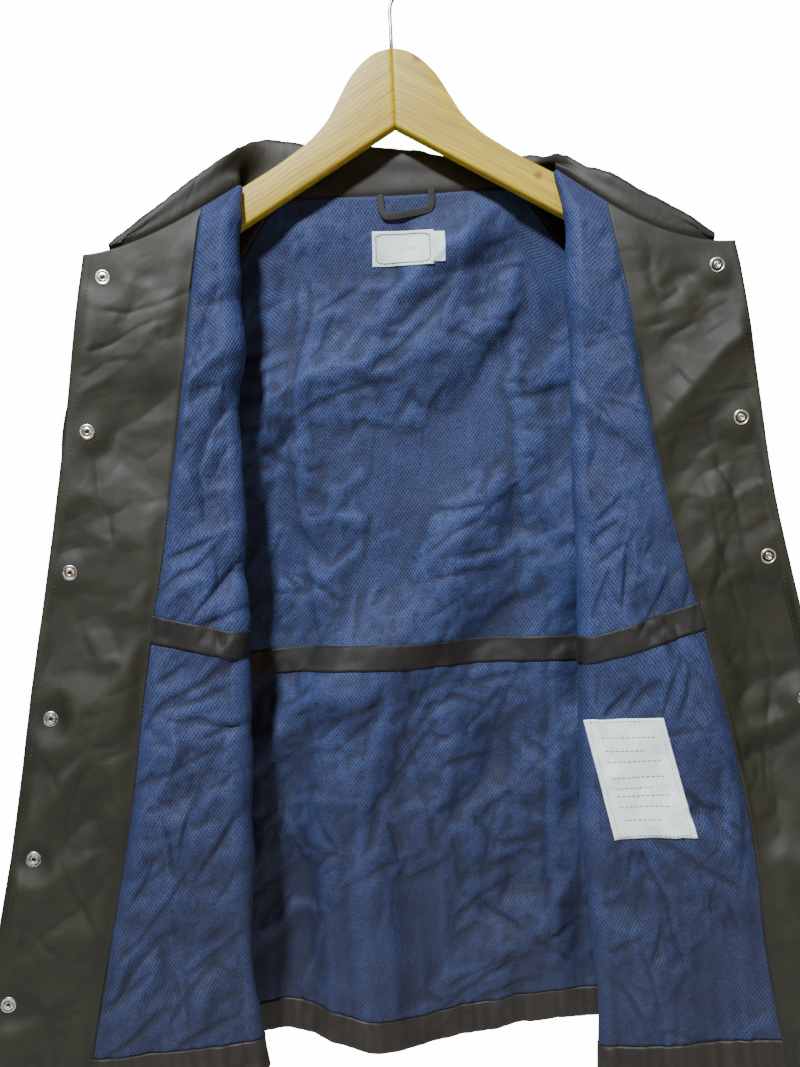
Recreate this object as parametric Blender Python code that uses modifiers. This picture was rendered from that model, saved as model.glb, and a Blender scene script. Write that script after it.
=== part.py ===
"""A coach jacket hung open on a wooden hanger, with both fronts folded back to show the lining.

Lengths in the tables are millimetres. The origin is the inside of the top of the hanger's hook,
X runs to the right of someone facing the open front, Y runs back and Z runs up. The side names
left and right are as that person sees them.
"""

import math

import bmesh
import bpy
import numpy as np
from mathutils import Matrix, Vector

MM = 0.001

# Cloth layers, measured from the middle surface of a panel.
SEAM_GAP = 0.2
SHELL_WALL = 1.2
LINING_WALL = 1.0
TRIM_GAP = 0.5
SLEEVE_WALL = 1.2
COLLAR_WALL = 2.0
EDGE_TRIM = 1.6

# Body sections, one row for each height: the heights run down from the neck to the hem.
LEVELS = [-205, -245, -300, -390, -480, -600, -740, -860, -950]
BACK_Y = [16, 22, 30, 38, 44, 50, 56, 60, 62]
BACK_RIDGE = [0, 0, 0, 2, 4, 10, 20, 30, 37]
BACK_RIDGE_X = -62
BACK_RIDGE_WIDTH = 45
SIDE_X = [285, 285, 285, 286, 286, 280, 264, 248, 240]
SIDE_Y = [14, 16, 18, 20, 22, 22, 22, 24, 26]
SIDE_RADIUS = 12
SEAM_TURN = 50
SEAM_ANGLE = 4.5
BACK_TURN = 72
FRONT_TURN = -20
FOLD_LEVELS = [-205, -228, -245, -300, -390, -480, -600, -740, -860, -950]
FOLD_Y = [-9, -15, -17, -17, -17, -17, -17, -17, -17, -17]
FOLD_RADIUS = [4, 6.5, 8, 8, 8, 8, 8, 8, 8, 8]
FRONTS = {
    "left": {
        "sign": -1,
        "fold_x": [131, 139, 140, 142, 143, 146, 152, 152, 144],
        "edge_x": [250, 255, 264, 277, 292, 314, 337, 363, 382],
        "edge_y": [-34, -36, -38, -38, -38, -38, -40, -42, -44],
        "facing": [90, 90, 90, 90, 90, 90, 90, 90, 90],
        "collar_end": 20,
        "neck": {"x": 258, "drop": 59, "power": 1.6},
        "tape": (-586, -555, -541),
        "hem": (-934, -937, -940),
        "snaps": (-281, -405, -518, -635, -747, -862),
    },
    "right": {
        "sign": 1,
        "fold_x": [131, 138, 137, 136, 134, 132, 127, 133, 132],
        "edge_x": [262, 264, 273, 282, 291, 313, 342, 356, 370],
        "edge_y": [-36, -36, -38, -38, -38, -38, -40, -42, -44],
        "facing": [94, 93, 92, 90, 84, 79, 82, 86, 88],
        "collar_end": 15,
        "neck": {"x": 268, "drop": 73, "power": 1.9},
        "tape": (-591, -567, -555),
        "hem": (-955, -949, -943),
        "snaps": (-295, -419, -532, -648, -764, -880),
    },
}
SNAP_INSET = 18

# Grid of a body panel. The back's columns are shares of the half width between the side turns.
BACK_SHARES = [0, 0.126, 0.25, 0.377, 0.5, 0.625, 0.75, 0.875, 1]
NECK_COLUMN = 3
UPPER_ROWS = 6
LOWER_ROWS = 4
TAPE_HEIGHT = 25
CASING_HEIGHT = 26

# Heights of the top edge. The raglan seams run from the neck to the underarm point.
NECK_BACK = (-208, -207.6, -206.8, -206)
RAGLAN_BACK = (-206, -253, -303, -352, -400, -449, -468, -482)
RAGLAN_FRONT = (-203, -222, -250, -305, -375, -440, -465, -482)
BACK_TAPE = -596
BACK_TAPE_SIDE = -606
BACK_HEM = -952
SIDE_HEM = -948

# Sleeve: the ridge over the shoulder, one point for each row of the raglan seams.
RIDGE = [
    (134, 1, -198.6),
    (152, 1, -210.5),
    (176, 1, -225),
    (200, 1, -239.3),
    (223, 2, -252.8),
    (262, 14, -300),
    (296, 36, -375),
    (316, 66, -470),
]
# Sections of the underarm part: row, centre, up, back, angles of the back and front ends, and
# how quickly the ends leave the seam.
UNDERARM = [
    (5, (267, 30, -385), (-4, -12, 84), (-4, 40, 0), 140, 140, 3),
    (6, (267, 52, -432), (14, -14, 56), (-20, 44, -10), 200, 130, 5),
    (7, (256, 86, -476), (64, -10, 6), (0, 41, 0), 285, 75, 16),
]
UNDERARM_POINT = (284.8, 34.8, -482)
# Sections of the tube: height, centre x, centre y, half width, half depth.
TUBE = [
    (-512, 246, 89, 74, 39),
    (-570, 244, 92, 75, 37),
    (-630, 244, 93, 73, 36),
    (-700, 246, 93, 69, 34),
    (-770, 248, 92, 63, 32),
    (-830, 250, 90, 56, 30),
    (-862, 251, 88, 48, 27),
    (-875, 252, 88, 44, 26),
]
SLEEVE_AROUND = 16
SLEEVE_POWER = 0.56
FRONT_BULGE = [0, 0, 2, 9, 15]
# The sleeve's seam edges stand this far off the panels' edges.
FRONT_STAND = (1.7, 0.4, 1.4)
REAR_STAND = (0.8, 3.0, 0.4)
NECK_STAND = (0.9, 0, 0.4)

# Collar: height of the roll across the neck, and the leaf's edge as an offset from the neck.
ROLL = [
    (-243, -262),
    (-235, -257),
    (-217, -243),
    (-195, -225),
    (-168, -203),
    (-149, -187),
    (-132, -172),
    (-121, -163),
    (-96, -160),
    (-75, -160),
    (-55, -162),
    (-28, -165),
    (0, -168),
    (34, -173),
    (60, -179),
    (93, -185),
    (110, -188),
    (131, -192),
    (143, -199),
    (161, -213),
    (182, -229),
    (200, -240),
    (219, -249),
    (241, -266),
    (255, -274),
]
LEAST_ROLL = 3.6
LEAF_X = [-242, -228, -200, -172, -150, -131, -103, -60, 0, 60, 103, 131, 150, 172, 200, 228, 242]
LEAF_OUT = [-6, -10, -14, -22, -36, -38, -16, -5, 0, 5, 12, 24, 28, 20, 14, 10, 6]
LEAF_BACK = [9, 9, 7, 2, -4, 3, 14, 16, 16, 16, 14, 4, -2, 2, 7, 9, 9]
LEAF_DROP = [-56, -48, -42, -36, -26, -7, -20, -26, -26, -26, -18, -6, -24, -34, -42, -48, -56]
RADIUS_X = [0, 103, 131, 172, 215]
ROLL_RADIUS = [3.5, 3.2, 2.3, 2.4, 3.2]

# Hanger: upper outline of one arm, in x and z.
ARM_TOP = [
    (0.2, -90),
    (16.5, -95),
    (28, -104),
    (38, -116),
    (47, -131.5),
    (56, -147),
    (68, -160.5),
    (90, -177),
    (131, -201.5),
]
ARM_SLOPE = 30.5
ARM_END = 221
ARM_NOTCH = -157
ARM_UNDER_SLOPE = 0.594
ARM_HALF_DEPTH = 6
ARM_BEVEL = 2
WIRE_RADIUS = 1.6
HOOK_CENTRE_Z = -19.1
HOOK_RADIUS = 20.7
STEM_FOOT = -106

COLOURS = {
    "shell": (0.030, 0.028, 0.022),
    "lining": (0.045, 0.095, 0.28),
    "facing": (0.060, 0.058, 0.046),
    "casing": (0.035, 0.033, 0.030),
    "tape": (0.020, 0.030, 0.070),
    "label": (0.75, 0.74, 0.68),
    "tab": (0.80, 0.79, 0.74),
    "metal": (0.55, 0.56, 0.55),
    "wire": (0.50, 0.49, 0.46),
    "wood": (0.60, 0.42, 0.20),
}


def clear_scene():
    for obj in list(bpy.data.objects):
        bpy.data.objects.remove(obj)


def collection_named(name, hidden=False):
    collection = bpy.data.collections.new(name)
    bpy.context.scene.collection.children.link(collection)
    collection.hide_render = hidden
    return collection


def material_for(name, kind):
    material = bpy.data.materials.new(name)
    material.use_nodes = True
    shader = material.node_tree.nodes["Principled BSDF"]
    shader.inputs["Base Color"].default_value = (*COLOURS[kind], 1)
    shader.inputs["Roughness"].default_value = 0.3 if kind in ("metal", "wire") else 0.7
    shader.inputs["Metallic"].default_value = 1.0 if kind in ("metal", "wire") else 0.0
    return material


def add_object(name, data, kind, collection=None):
    obj = bpy.data.objects.new(name, data)
    (collection or JACKET).objects.link(obj)
    data.materials.append(material_for(name, kind))
    return obj


def eased(at, places, values):
    """Smooth interpolation through a table, held level beyond its ends."""
    places = np.asarray(places, float)
    values = np.asarray(values, float)
    if places[0] > places[-1]:
        places, values = places[::-1], values[::-1]
    slopes = np.gradient(values, places)
    at = np.clip(at, places[0], places[-1])
    i = np.clip(np.searchsorted(places, at) - 1, 0, len(places) - 2)
    step = places[i + 1] - places[i]
    t = (at - places[i]) / step
    return (
        (2 * t**3 - 3 * t**2 + 1) * values[i]
        + (t**3 - 2 * t**2 + t) * step * slopes[i]
        + (3 * t**2 - 2 * t**3) * values[i + 1]
        + (t**3 - t**2) * step * slopes[i + 1]
    )


def level(z, values):
    return eased(z, LEVELS, values)


def smoothstep(low, high, value):
    t = np.clip((value - low) / (high - low), 0, 1)
    return t * t * (3 - 2 * t)


def back_point(share, z):
    """A point of the back between the side turns. A negative share is on the left."""
    half = level(z, SIDE_X) - SIDE_RADIUS
    x = share * half
    ridge = level(z, BACK_RIDGE) * np.exp(-(((x - BACK_RIDGE_X) / BACK_RIDGE_WIDTH) ** 2))
    w = smoothstep(0.5, 1.0, abs(share))
    side = level(z, SIDE_Y) + SIDE_RADIUS
    y = (1 - w) * (level(z, BACK_Y) - ridge) + w * side
    return np.array([x, y, z])


def side_point(sign, degrees, z):
    """A point of the turn at the side: 90 degrees is the back, -90 the front layer."""
    angle = math.radians(degrees)
    x = level(z, SIDE_X) - SIDE_RADIUS + SIDE_RADIUS * math.cos(angle)
    return np.array([sign * x, level(z, SIDE_Y) + SIDE_RADIUS * math.sin(angle), z])


def fold_point(front, degrees, z):
    """A point of the fold of a front: 90 degrees joins the layer behind, -90 the turned flap."""
    angle = math.radians(degrees)
    radius = eased(z, FOLD_LEVELS, FOLD_RADIUS)
    x = level(z, front["fold_x"]) + radius * (1 - math.cos(angle))
    y = eased(z, FOLD_LEVELS, FOLD_Y) + radius * math.sin(angle)
    return np.array([front["sign"] * x, y, z])


def layer_point(front, share, z):
    start = side_point(front["sign"], -90, z)
    end = fold_point(front, 90, z)
    return start + (end - start) * share


def edge_point(front, z):
    x = front["sign"] * level(z, front["edge_x"])
    return np.array([x, level(z, front["edge_y"]), z])


def flap_point(front, share, z):
    """A point between the fold and the inner edge of the facing."""
    return fold_point(front, -90, z) + share * (
        facing_point(front, 1, z) - fold_point(front, -90, z)
    )


def facing_point(front, share, z):
    """A point of the facing. Share 1 is its inner edge and 0 the front edge."""
    fold = fold_point(front, -90, z)
    edge = edge_point(front, z)
    inward = (fold - edge) / np.linalg.norm(fold - edge)
    return edge + inward * share * level(z, front["facing"])


def neck_height(front, x):
    neck = front["neck"]
    reach = np.clip((abs(x) - 133) / (neck["x"] - 133), 0, 1)
    return -203 - neck["drop"] * (1 - (1 - reach) ** neck["power"])


def settled_top(point_of, front):
    """The height at which a flap's column meets the neckline."""
    z = -230.0
    for _ in range(12):
        z = neck_height(front, point_of(z)[0])
    return z


def rows_between(top, tape, casing, hem):
    upper = np.linspace(top, tape, UPPER_ROWS + 1)
    lower = np.linspace(tape - TAPE_HEIGHT, casing, LOWER_ROWS + 1)
    return np.concatenate([upper, lower, [hem]])


def back_grid():
    columns = []
    heights = list(NECK_BACK) + list(RAGLAN_BACK[1:])
    for sign in (-1, 1):
        half = []
        for share, top in zip(BACK_SHARES, heights):
            tape = BACK_TAPE + (BACK_TAPE_SIDE - BACK_TAPE) * smoothstep(0.4, 1, share)
            hem = BACK_HEM + (SIDE_HEM - BACK_HEM) * share
            lower = -EDGE_TRIM if share > 0.38 else 0
            zs = rows_between(top + lower, tape, hem + CASING_HEIGHT, hem)
            half.append([back_point(sign * share, z) for z in zs])
        turns = ((BACK_TURN, RAGLAN_BACK[6]), (SEAM_TURN + SEAM_ANGLE, RAGLAN_BACK[7]))
        for degrees, top in turns:
            zs = rows_between(top - EDGE_TRIM, BACK_TAPE_SIDE, SIDE_HEM + CASING_HEIGHT, SIDE_HEM)
            half.append([side_point(sign, degrees, z) for z in zs])
        columns.append(half)
    left, right = columns
    return np.array(left[:0:-1] + right).transpose(1, 0, 2)


def front_grid(front):
    """Columns from the side seam round the fold to the front edge."""
    sign = front["sign"]
    tape_fold, tape_facing, tape_edge = front["tape"]
    hem_fold, hem_facing, hem_edge = front["hem"]
    end = front["collar_end"]
    middle = 0.5 * (90 + end)
    plan = [
        (lambda z: side_point(sign, SEAM_TURN - SEAM_ANGLE, z), RAGLAN_FRONT[7], 0, SIDE_HEM),
        (lambda z: side_point(sign, FRONT_TURN, z), RAGLAN_FRONT[6], 0, SIDE_HEM),
        (lambda z: layer_point(front, 0, z), RAGLAN_FRONT[5], 0, SIDE_HEM),
        (lambda z: layer_point(front, 0.33, z), RAGLAN_FRONT[4], 0.33, SIDE_HEM),
        (lambda z: layer_point(front, 0.67, z), RAGLAN_FRONT[3], 0.67, None),
        (lambda z: layer_point(front, 1, z), RAGLAN_FRONT[2], 1, hem_fold),
        (lambda z: fold_point(front, 45, z), RAGLAN_FRONT[1], 1, hem_fold),
        (lambda z: fold_point(front, 0, z), RAGLAN_FRONT[0], 1, hem_fold),
        (lambda z: fold_point(front, -45, z), None, 1, hem_fold),
        (lambda z: fold_point(front, -90, z), None, 1, hem_fold),
        (lambda z: flap_point(front, 0.33, z), None, 1.33, None),
        (lambda z: flap_point(front, 0.67, z), None, 1.67, None),
        (lambda z: facing_point(front, 1, z), None, 2, hem_facing),
        (lambda z: facing_point(front, middle / 90, z), None, 2.5, None),
        (lambda z: facing_point(front, end / 90, z), None, 2.8, None),
        (lambda z: facing_point(front, 0, z), None, 3, hem_edge),
    ]
    places = [0, 1, 2, 3]
    tapes = [BACK_TAPE_SIDE, tape_fold, tape_facing, tape_edge]
    hems = [SIDE_HEM, hem_fold, hem_facing, hem_edge]
    columns = []
    for point_of, top, place, _ in plan:
        raglan = top is not None and top != RAGLAN_FRONT[0]
        if top is None:
            top = settled_top(point_of, front)
        if raglan:
            top = top - EDGE_TRIM
        tape = np.interp(place, places, tapes)
        hem = np.interp(place, places, hems)
        zs = rows_between(top, tape, hem + CASING_HEIGHT, hem)
        columns.append([point_of(z) for z in zs])
    return np.array(columns).transpose(1, 0, 2)


def unit(vectors):
    return vectors / np.linalg.norm(vectors, axis=-1, keepdims=True)


def grid_normals(grid):
    """Unit normals with each step along the grid given the same weight."""
    def run(axis):
        steps = unit(np.diff(grid, axis=axis))
        first = np.take(steps, [0], axis)
        last = np.take(steps, [-1], axis)
        before = np.concatenate([first, steps], axis)
        after = np.concatenate([steps, last], axis)
        return unit(before + after)

    return unit(np.cross(run(1), run(0)))


def moved(grid, normals, distance):
    return grid + normals * distance


def sheet_mesh(name, grid, closed_from=None):
    """An open mesh through a grid of points. From row closed_from its first and last columns are one."""
    rows, columns = grid.shape[:2]
    mesh = bpy.data.meshes.new(name)
    points = grid.reshape(-1, 3) * MM
    index = np.arange(rows * columns).reshape(rows, columns)
    if closed_from is not None:
        index[closed_from:, -1] = index[closed_from:, 0]
    faces = np.stack(
        [index[:-1, :-1], index[:-1, 1:], index[1:, 1:], index[1:, :-1]], axis=-1
    ).reshape(-1, 4)
    used = np.unique(faces)
    lookup = np.zeros(rows * columns, int)
    lookup[used] = np.arange(len(used))
    mesh.from_pydata(points[used].tolist(), [], lookup[faces].tolist())
    mesh.validate()
    return mesh


def cloth(name, grid, wall, kind, inward=False, closed_from=None, even=True):
    """A sheet with a wall added on its outward side, or on its inward side."""
    obj = add_object(name, sheet_mesh(name, grid, closed_from), kind)
    solidify = obj.modifiers.new("wall", "SOLIDIFY")
    solidify.thickness = wall * MM
    solidify.offset = -1 if inward else 1
    solidify.use_even_offset = even
    solidify.thickness_clamp = 0
    return obj


def superellipse(angle):
    c, s = math.cos(angle), math.sin(angle)
    return abs(c) ** SLEEVE_POWER * np.sign(c), abs(s) ** SLEEVE_POWER * np.sign(s)


def sleeve_grid(front, back, fronts):
    """Rows from the neck along the raglan seams, round the underarm and down to the cuff."""
    sign = front["sign"]
    across = np.array([sign, 1, 1])
    around = np.linspace(0, 1, SLEEVE_AROUND + 1)
    rows = []
    for i in range(5):
        ridge = np.array(RIDGE[i], float)
        row = []
        for u in around:
            up, across_depth = superellipse(math.radians(90 - 180 * u))
            foot = back[i] if u < 0.5 else fronts[i]
            centre = np.array([foot[0], ridge[1], foot[2]])
            point = centre + (ridge - centre) * up + (foot - centre) * abs(across_depth)
            if u > 0.5:
                point[1] -= FRONT_BULGE[i] * math.sin(math.pi * (2 * u - 1)) ** 0.6
            row.append(point)
        rows.append(row)
    corrections = []
    for i, centre, up, rear, at_back, at_front, power in UNDERARM:
        centre, up, rear = (np.array(v, float) for v in (centre, up, rear))
        angles = np.radians(at_back - (at_back + at_front) * around)
        row = centre + np.outer(np.cos(angles), up) + np.outer(np.sin(angles), rear)
        tips = (back[i], fronts[i]) if i < 7 else (np.array(UNDERARM_POINT),) * 2
        start, finish = tips[0] - row[0], tips[1] - row[-1]
        pull = np.outer((1 - around) ** power, start) + np.outer(around**power, finish)
        corrections = pull
        rows.append(row + pull)
    angles = np.radians(285 - 360 * around)
    for number, (z, x, y, half_x, half_y) in enumerate(TUBE):
        ring = np.stack(
            [x + half_x * np.cos(angles), y + half_y * np.sin(angles), np.full(len(angles), z)],
            axis=1,
        )
        decay = (0.35, 0.0)[min(number, 1)]
        flat = corrections * np.array([1, 1, 0])
        rows.append(ring + flat * decay)
    return np.array(rows) * across


def sleeve_edges(front, back_panel, front_panel):
    """Points of the raglan seams, shared with the panels but with their trim given back."""
    sign = front["sign"]
    centre = len(BACK_SHARES) + 1
    start = centre + sign * NECK_COLUMN
    back_tops = [back_panel[0, start + sign * i] for i in range(8)]
    front_tops = [front_panel[0, 7 - i] for i in range(8)]
    mirror = np.array([sign, 1, 1])
    lift = np.array([0, 0, EDGE_TRIM])
    backs = [p * mirror + lift * (i > 0) for i, p in enumerate(back_tops)]
    fronts = [p * mirror + lift * (i > 0) for i, p in enumerate(front_tops)]
    for i in (0, 1, 2):
        fronts[i] = fronts[i] + np.array(FRONT_STAND)
    backs[0] = backs[0] + np.array(NECK_STAND)
    for i in (5, 6):
        backs[i] = backs[i] + np.array(REAR_STAND)
    return backs, fronts


def make_sleeve(side, back_panel, front_panel):
    front = FRONTS[side]
    backs, fronts = sleeve_edges(front, back_panel, front_panel)
    grid = sleeve_grid(front, backs, fronts)
    if front["sign"] < 0:
        grid = grid[:, ::-1]
    normals = grid_normals(grid)
    closed = normals[7:, 0] + normals[7:, -1]
    normals[7:, 0] = normals[7:, -1] = unit(closed)
    cloth(f"sleeve_{side}", moved(grid, normals, 0.6), SLEEVE_WALL, "shell", True, 7, False)
    return grid


def neck_path(back_panel, panels, sleeves):
    """Points of the neck seam from the left end of the collar to the right one."""
    halves = {}
    for side, sleeve in sleeves.items():
        flap = [panels[side][0, column] for column in (14, 13, 12, 11, 10, 9, 8)]
        over = sleeve[0, ::2] if side == "left" else sleeve[0, ::-2]
        halves[side] = flap + list(over)
    centre = len(BACK_SHARES) + 1
    inner = [back_panel[0, centre + i] for i in range(1 - NECK_COLUMN, NECK_COLUMN)]
    return np.array(halves["left"] + inner + halves["right"][::-1])


def make_collar(path):
    """The collar stands on the neck seam, rolls over and falls outside the jacket."""
    base = path + np.array([0, 0, 2.7])
    steps = np.gradient(base, axis=0)
    for _ in range(3):
        steps[1:-1] = (steps[:-2] + 2 * steps[1:-1] + steps[2:]) / 4
    away = np.stack([-steps[:, 1], steps[:, 0], 0 * steps[:, 0]], axis=1)
    away = unit(away)
    x = base[:, 0]
    radius = eased(abs(x), RADIUS_X, ROLL_RADIUS)
    roll_x, roll_z = np.array(ROLL, float).T
    height = eased(x + away[:, 0] * radius, roll_x, roll_z) - base[:, 2]
    height = np.maximum(height, LEAST_ROLL)
    offset = np.stack([eased(x, LEAF_X, t) for t in (LEAF_OUT, LEAF_BACK, LEAF_DROP)], axis=1)
    radius = np.minimum(radius, 0.45 * height)
    up = np.array([0, 0, 1.0])
    sections = [base]
    top = base + up * (height - radius)[:, None]
    sections.append((base + top) / 2)
    for degrees in (180, 135, 90, 45, 0):
        angle = math.radians(degrees)
        out = away * (radius * (1 + math.cos(angle)))[:, None]
        sections.append(top + out + up * (radius * math.sin(angle))[:, None])
    end = base + offset
    for share in (0.33, 0.67, 1):
        sections.append(sections[6] + (end - sections[6]) * share)
    grid = np.array(sections)
    normals = grid_normals(grid)
    cloth("collar", moved(grid, normals, 1), COLLAR_WALL, "shell", True, None, False)
    return grid


def make_panels():
    back = back_grid()
    fronts = {side: front_grid(front) for side, front in FRONTS.items()}
    whole = np.concatenate([fronts["left"][:, ::-1], back, fronts["right"]], axis=1)
    normals = grid_normals(whole)
    count = fronts["left"].shape[1]
    spans = {
        "left": slice(0, count),
        "back": slice(count, count + back.shape[1]),
        "right": slice(count + back.shape[1], None),
    }
    tape_row = UPPER_ROWS
    casing_row = UPPER_ROWS + 1 + LOWER_ROWS
    for side, span in spans.items():
        grid, out = whole[:, span], normals[:, span]
        cloth(f"shell_{side}", moved(grid, out, SEAM_GAP), SHELL_WALL, "shell")
        if side == "back":
            inner = slice(None)
        else:
            inner = slice(3, None) if side == "left" else slice(None, -3)
            edge = slice(0, 4) if side == "left" else slice(-4, None)
            facing = moved(grid, out, -SEAM_GAP)[:, edge].copy()
            seam = 3 if side == "left" else 0
            beside = 2 if side == "left" else 1
            facing[:, seam] += 0.6 * unit(facing[:, beside] - facing[:, seam])
            cloth(f"facing_{side}", facing, LINING_WALL, "facing", True)
        lining = moved(grid, out, -SEAM_GAP)[:, inner].copy()
        body = lining[: casing_row + 1].copy()
        body[-1] += 0.6 * unit(body[-2] - body[-1])
        cloth(f"lining_{side}", body, LINING_WALL, "lining", True)
        cloth(f"hem_casing_{side}", lining[casing_row:], LINING_WALL, "casing", True)
        inset = SEAM_GAP + LINING_WALL + TRIM_GAP
        tape = moved(grid, out, -inset)[tape_row : tape_row + 2, inner]
        cloth(f"tape_{side}", tape, LINING_WALL, "tape", True)
    return whole, normals, spans


def spot(grid, normals, x, z):
    """The point and normal of a panel at a given x and z, by its own grid."""
    heights = grid[..., 2]
    rows = []
    for column in range(grid.shape[1]):
        place = np.interp(-z, -heights[:, column], np.arange(grid.shape[0]))
        low = min(int(place), grid.shape[0] - 2)
        part = place - low
        rows.append(
            (
                grid[low, column] * (1 - part) + grid[low + 1, column] * part,
                normals[low, column] * (1 - part) + normals[low + 1, column] * part,
            )
        )
    xs = np.array([row[0][0] for row in rows])
    order = np.argsort(xs)
    place = np.interp(x, xs[order], np.arange(len(xs)))
    low = min(int(place), len(xs) - 2)
    part = place - low
    first, second = rows[order[low]], rows[order[low + 1]]
    point = first[0] * (1 - part) + second[0] * part
    normal = first[1] * (1 - part) + second[1] * part
    return point, unit(normal)


def patch(name, grid, normals, corners, steps, kind, gap):
    """A flat piece sewn on the lining. Its corners are top left, top right, bottom right, bottom left."""
    corners = np.array(corners, float)
    rows, columns = steps
    points = []
    for v in np.linspace(0, 1, rows + 1):
        row = []
        for u in np.linspace(0, 1, columns + 1):
            top = corners[0] * (1 - u) + corners[1] * u
            bottom = corners[3] * (1 - u) + corners[2] * u
            x, z = top * (1 - v) + bottom * v
            point, normal = spot(grid, normals, x, z)
            row.append(point - normal * gap)
        points.append(row)
    made = np.array(points)
    if np.cross(made[0, 1] - made[0, 0], made[1, 0] - made[0, 0]) @ normal < 0:
        made = made[:, ::-1]
    return cloth(name, made, LINING_WALL, kind, True)


def make_hang_loop(grid, normals):
    """A narrow tape whose two ends are caught in the neck seam above the label."""
    path = [(-16, -213), (-15, -219), (-10, -223.5), (4, -224), (19, -222.5), (24.5, -218.5), (26, -213)]
    stand = [1.55, 2.6, 4.2, 5.0, 4.2, 2.6, 1.55]
    middle = np.array([5.0, -205.0])
    rows = []
    for (x, z), gap in zip(path, stand):
        away = np.array([x, z]) - middle
        away = away / np.linalg.norm(away)
        if z > -214:
            away = np.array([np.sign(away[0]), 0.0])
        row = []
        for reach in (2.8, -2.8):
            at = np.array([x, z]) + away * reach
            point, normal = spot(grid, normals, at[0], at[1])
            row.append(point - normal * gap)
        rows.append(row)
    made = np.array(rows).transpose(1, 0, 2)[::-1]
    cloth("hang_loop", made, LINING_WALL, "tape", True)


def make_snap(name, point, normal, profile):
    """A turned snap part: the profile is in radius and height above the cloth."""
    mesh = bpy.data.meshes.new(name)
    points = [(r * MM, 0, h * MM) for r, h in profile]
    edges = [(i, i + 1) for i in range(len(points) - 1)]
    mesh.from_pydata(points, edges, [])
    obj = add_object(name, mesh, "metal")
    screw = obj.modifiers.new("turned", "SCREW")
    screw.angle = 2 * math.pi
    screw.steps = 12
    screw.render_steps = 12
    screw.use_merge_vertices = True
    screw.merge_threshold = 0.00005
    screw.use_normal_calculate = True
    turn = Vector((0, 0, 1)).rotation_difference(Vector(normal)).to_matrix().to_4x4()
    obj.matrix_world = Matrix.Translation(Vector(point * MM)) @ turn


SNAP_INNER = [
    (0, 0),
    (6.2, 0),
    (6.2, 0.6),
    (5.6, 1.0),
    (4.3, 0.8),
    (3.1, 1.0),
    (2.7, 2.0),
    (1.5, 2.0),
    (1.2, 1.2),
    (0, 1.2),
]
SNAP_OUTER = [(0, 0), (6.2, 0), (6.2, 0.5), (4.8, 1.1), (0, 1.3)]


def make_snaps(whole, normals, spans):
    for side, front in FRONTS.items():
        grid, out = whole[:, spans[side]], normals[:, spans[side]]
        if side == "left":
            grid, out = grid[:, ::-1], out[:, ::-1]
        part = SNAP_INSET / front["collar_end"] if front["collar_end"] >= SNAP_INSET else None
        for number, z in enumerate(front["snaps"], 1):
            inset = SNAP_INSET
            columns = (15, 14) if part is not None else (14, 13)
            if part is None:
                width = 0.5 * (90 + front["collar_end"]) - front["collar_end"]
                share = (inset - front["collar_end"]) / width
            else:
                share = part
            line = grid[:, columns[0]] * (1 - share) + grid[:, columns[1]] * share
            line_out = out[:, columns[0]] * (1 - share) + out[:, columns[1]] * share
            point = np.array([np.interp(-z, -line[:, 2], line[:, k]) for k in range(3)])
            normal = unit(np.array([np.interp(-z, -line[:, 2], line_out[:, k]) for k in range(3)]))
            inner = point - normal * (SEAM_GAP + LINING_WALL + 0.35)
            outer = point + normal * (SEAM_GAP + SHELL_WALL + 0.35)
            make_snap(f"snap_{side}_{number}_inner", inner, -normal, SNAP_INNER)
            make_snap(f"snap_{side}_{number}_outer", outer, normal, SNAP_OUTER)


def arm_outline():
    slope = math.tan(math.radians(ARM_SLOPE))
    reach = ARM_END - 17
    top = list(ARM_TOP) + [(165, -201.5 - 34 * slope), (reach, -201.5 - (reach - 131) * slope)]
    upper = np.array(top[-1])
    lower = np.array([ARM_END - 22, ARM_NOTCH - ARM_UNDER_SLOPE * (ARM_END - 22)])
    centre = (upper + lower) / 2
    radius = (upper - lower) / 2
    across = np.array([radius[1], -radius[0]])
    end = []
    for degrees in (30, 60, 90, 120, 150):
        angle = math.radians(degrees)
        end.append(tuple(centre + radius * math.cos(angle) + across * math.sin(angle)))
    bottom = [tuple(lower), (120, ARM_NOTCH - ARM_UNDER_SLOPE * 120), (0.2, ARM_NOTCH)]
    return top + end + bottom


def make_arm(side, sign, cutter):
    outline = arm_outline()
    if sign < 0:
        outline = [(-x, z) for x, z in outline][::-1]
    mesh = bpy.data.meshes.new(f"hanger_arm_{side}")
    shape = bmesh.new()
    corners = [shape.verts.new((x * MM, -ARM_HALF_DEPTH * MM, z * MM)) for x, z in outline]
    face = shape.faces.new(corners[::-1])
    made = bmesh.ops.extrude_face_region(shape, geom=[face])
    raised = [v for v in made["geom"] if isinstance(v, bmesh.types.BMVert)]
    bmesh.ops.translate(shape, verts=raised, vec=(0, 2 * ARM_HALF_DEPTH * MM, 0))
    bmesh.ops.recalc_face_normals(shape, faces=shape.faces)
    shape.to_mesh(mesh)
    shape.free()
    obj = add_object(f"hanger_arm_{side}", mesh, "wood")
    bevel = obj.modifiers.new("eased edges", "BEVEL")
    bevel.width = ARM_BEVEL * MM
    bevel.segments = 2
    bevel.limit_method = "ANGLE"
    bevel.angle_limit = math.radians(55)
    hole = obj.modifiers.new("stem hole", "BOOLEAN")
    hole.operation = "DIFFERENCE"
    hole.solver = "EXACT"
    hole.object = cutter


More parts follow.
